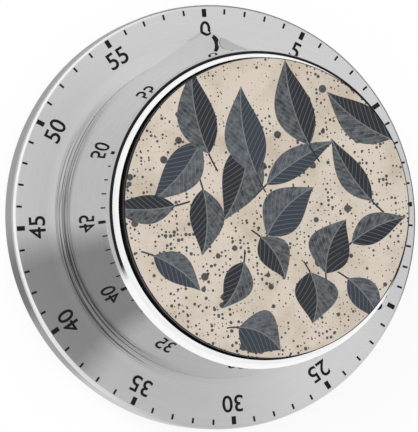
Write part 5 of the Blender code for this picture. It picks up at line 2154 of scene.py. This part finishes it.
@dataclass
class Studio:
    """Pale floor, even light with one soft lamp, and the camera.

    Polished metal sees a white room. The floor that it sees is grey under and round the timer,
    white towards the front and dark further off, which gives it the crisp bands of a product
    photograph. Levels are the strength of white. The front opening's side is given by the
    cosine of its bearing from the dial's zero.
    """

    floor_size: float = 6.0
    floor_colour: str = "#fafafa"
    floor_gap: float = 0.02 * MM
    near_centre: tuple[float, float, float] = (-0.012, 0.0, 0.0)
    near_reach: float = 56.0 * MM
    near_level: float = 0.52
    covered_reach: float = 38.5 * MM
    front_opening: float = -0.42
    opening_softness: float = 0.08
    edge_softness: float = 4.0 * MM
    dark_level: float = 0.02
    ceiling_direction: tuple[float, float, float] = (0.3, 0.5, 0.81)
    ceiling_start: float = -0.2
    low_level: float = 0.92
    high_level: float = 1.0
    even_level: float = 0.8
    floor_glow: float = 0.85
    lamp_power: float = 3.0
    lamp_size: float = 0.5
    lamp_distance: float = 0.9
    lamp_direction: tuple[float, float, float] = (-0.45, 0.45, 0.77)
    focal_length: float = 236.75
    sensor_width: float = 36.0
    nearest: float = 0.01
    furthest: float = 20.0
    camera_place: tuple[float, float, float] = (-0.1637, -0.0169, 0.4995)
    camera_right: tuple[float, float, float] = (0.9485, -0.0729, 0.3081)
    camera_up: tuple[float, float, float] = (0.0591, 0.9967, 0.0538)
    camera_back: tuple[float, float, float] = (-0.3111, -0.0327, 0.9498)

    def build_world(self) -> None:
        """Make the world: white to the camera, a bright room to metal, even to the rest."""
        world = bpy.data.worlds.new("studio")
        bpy.context.scene.world = world
        world.use_nodes = True
        tree = world.node_tree
        tree.nodes.clear()
        ray = add_node(tree, "ShaderNodeLightPath").outputs
        direction = add_node(tree, "ShaderNodeTexCoord").outputs["Generated"]
        towards = add_node(
            tree,
            "ShaderNodeVectorMath",
            {"operation": "DOT_PRODUCT"},
            {0: direction, 1: self.ceiling_direction},
        ).outputs["Value"]
        seen = add_node(
            tree,
            "ShaderNodeMapRange",
            SOFT_STEP,
            {0: towards, 1: self.ceiling_start, 2: 1.0, 3: self.low_level, 4: self.high_level},
        ).outputs[0]
        mirrored = add_node(
            tree, "ShaderNodeMix", None, {0: ray["Is Glossy Ray"], 2: self.even_level, 3: seen}
        ).outputs[0]
        plain = add_node(
            tree,
            "ShaderNodeMath",
            {"operation": "MAXIMUM"},
            {0: ray["Is Camera Ray"], 1: ray["Is Transmission Ray"]},
        ).outputs[0]
        level = add_node(tree, "ShaderNodeMix", None, {0: plain, 2: mirrored, 3: 1.0}).outputs[0]
        light = add_node(
            tree, "ShaderNodeBackground", None, {"Color": WHITE, "Strength": level}
        ).outputs[0]
        add_node(tree, "ShaderNodeOutputWorld", None, {"Surface": light})
        world.cycles.sampling_method = "NONE"

    def floor_seen_by_metal(self, tree: Tree) -> Socket:
        """Give the level of the floor that polished metal mirrors.

        Args:
            tree: the floor material's node tree.

        Returns:
            Grey near the timer, white towards the front and dark further off.
        """
        place = add_node(tree, "ShaderNodeNewGeometry").outputs["Position"]
        off = add_node(
            tree, "ShaderNodeVectorMath", {"operation": "DISTANCE"}, {0: place, 1: self.near_centre}
        ).outputs["Value"]
        beyond = add_node(
            tree,
            "ShaderNodeMapRange",
            SOFT_STEP,
            {
                0: off,
                1: self.near_reach - self.edge_softness,
                2: self.near_reach + self.edge_softness,
            },
        ).outputs[0]
        outward = add_node(
            tree, "ShaderNodeVectorMath", {"operation": "NORMALIZE"}, {0: place}
        ).outputs[0]
        ahead = add_node(tree, "ShaderNodeSeparateXYZ", None, {0: outward}).outputs["Y"]
        turning = {
            0: ahead,
            1: self.front_opening - self.opening_softness,
            2: self.front_opening + self.opening_softness,
        }
        behind = add_node(tree, "ShaderNodeMapRange", SOFT_STEP, turning).outputs[0]
        back = add_node(
            tree, "ShaderNodeMix", None, {0: beyond, 2: self.near_level, 3: self.dark_level}
        ).outputs[0]
        open_floor = add_node(
            tree, "ShaderNodeMix", None, {0: behind, 2: self.high_level, 3: back}
        ).outputs[0]
        reach = add_node(
            tree, "ShaderNodeVectorMath", {"operation": "LENGTH"}, {0: place}
        ).outputs["Value"]
        covered = add_node(
            tree, "ShaderNodeMath", {"operation": "LESS_THAN"}, {0: reach, 1: self.covered_reach}
        ).outputs[0]
        return add_node(
            tree, "ShaderNodeMix", None, {0: covered, 2: open_floor, 3: self.near_level}
        ).outputs[0]

    def floor_material(self) -> bpy.types.Material:
        """Make the floor's material, which glows enough to stay white and keep a shadow.

        Returns:
            The material. It is clear from below, so that the timer's back can be seen.
        """
        made = bpy.data.materials.new("pale studio floor")
        made.use_nodes = True
        tree = made.node_tree
        tree.nodes.clear()
        ray = add_node(tree, "ShaderNodeLightPath").outputs
        surface = add_node(tree, "ShaderNodeNewGeometry").outputs
        mirrored = add_node(
            tree,
            "ShaderNodeMix",
            None,
            {0: ray["Is Glossy Ray"], 2: self.even_level, 3: self.floor_seen_by_metal(tree)},
        ).outputs[0]
        unseen = add_node(
            tree, "ShaderNodeEmission", None, {"Color": WHITE, "Strength": mirrored}
        ).outputs[0]
        glow = add_node(
            tree, "ShaderNodeEmission", None, {"Color": WHITE, "Strength": 1.0}
        ).outputs[0]
        matt = add_node(
            tree, "ShaderNodeBsdfDiffuse", None, {"Color": linear(self.floor_colour)}
        ).outputs[0]
        shown = add_node(
            tree, "ShaderNodeMixShader", None, {0: 1 - self.floor_glow, 1: glow, 2: matt}
        ).outputs[0]
        top = add_node(
            tree, "ShaderNodeMixShader", None, {0: ray["Is Camera Ray"], 1: unseen, 2: shown}
        ).outputs[0]
        clear = add_node(tree, "ShaderNodeBsdfTransparent").outputs[0]
        both = add_node(
            tree, "ShaderNodeMixShader", None, {0: surface["Backfacing"], 1: top, 2: clear}
        ).outputs[0]
        add_node(tree, "ShaderNodeOutputMaterial", None, {"Surface": both})
        made.cycles.emission_sampling = "NONE"
        return made

    def build_floor(self) -> None:
        """Lay the floor just under the timer."""
        shape = bmesh.new()
        bmesh.ops.create_grid(shape, x_segments=1, y_segments=1, size=self.floor_size / 2)
        mesh = bpy.data.meshes.new("studio_floor")
        shape.to_mesh(mesh)
        shape.free()
        mesh.materials.append(self.floor_material())
        floor = bpy.data.objects.new("studio_floor", mesh)
        bpy.context.scene.collection.objects.link(floor)
        floor.location = (0.0, 0.0, -self.floor_gap)

    def build_lamp(self) -> None:
        """Hang one soft lamp at the upper left. Metal sees the room in its stead."""
        data = bpy.data.lights.new("soft lamp", "AREA")
        data.shape = "DISK"
        data.size = self.lamp_size
        data.energy = self.lamp_power
        lamp = bpy.data.objects.new("soft_lamp", data)
        bpy.context.scene.collection.objects.link(lamp)
        towards = Vector(self.lamp_direction).normalized()
        lamp.location = towards * self.lamp_distance
        lamp.rotation_mode = "QUATERNION"
        lamp.rotation_quaternion = towards.to_track_quat("Z", "Y")
        lamp.visible_glossy = False

    def build_camera(self) -> None:
        """Stand the camera at the photograph's viewing angle."""
        data = bpy.data.cameras.new("camera")
        data.lens = self.focal_length
        data.sensor_width = self.sensor_width
        data.clip_start = self.nearest
        data.clip_end = self.furthest
        camera = bpy.data.objects.new("camera", data)
        bpy.context.scene.collection.objects.link(camera)
        axes = Matrix((self.camera_right, self.camera_up, self.camera_back)).transposed()
        camera.matrix_world = Matrix.Translation(self.camera_place) @ axes.to_4x4()
        bpy.context.scene.camera = camera

    def build(self) -> None:
        """Set the stage and the view transform."""
        self.build_world()
        self.build_floor()
        self.build_lamp()
        self.build_camera()
        bpy.context.scene.view_settings.view_transform = "Standard"


def clear_startup() -> None:
    """Remove anything in the file that isn't the loaded model."""
    kept = {*frame["nodes"].values(), *frame["bodies"].values()}
    for thing in list(bpy.data.objects):
        if thing not in kept:
            bpy.data.objects.remove(thing)


def main() -> None:
    """Dress the timer piece by piece and set the stage."""
    logging.basicConfig(level=logging.INFO, format="%(message)s")
    clear_startup()
    DialFlange().dress()
    MinuteScale().dress()
    BaseTray().dress()
    BackCover().dress()
    Magnets().dress()
    ScrewSet(
        name="cover_screw_set",
        places=PartSet(COVER_SCREWS),
        recess=Recess.CROSS,
        head_up=False,
        head_radius=2.1 * MM,
        shank_radius=1.0 * MM,
    ).dress()
    for name, places, head_up in (
        ("frame_screw_set", PartSet(FRAME_SCREWS, seed=3), False),
        ("plate_screw_set", PartSet(PLATE_SCREWS, seed=5), True),
    ):
        ScrewSet(
            name, places, Recess.SLOT, head_up, head_radius=1.6 * MM, shank_radius=0.9 * MM
        ).dress()
    KnobShell().dress()
    BezelRing().dress()
    FacePlate().dress()
    Movement().dress()
    Studio().build()


if __name__ == "__main__":
    main()
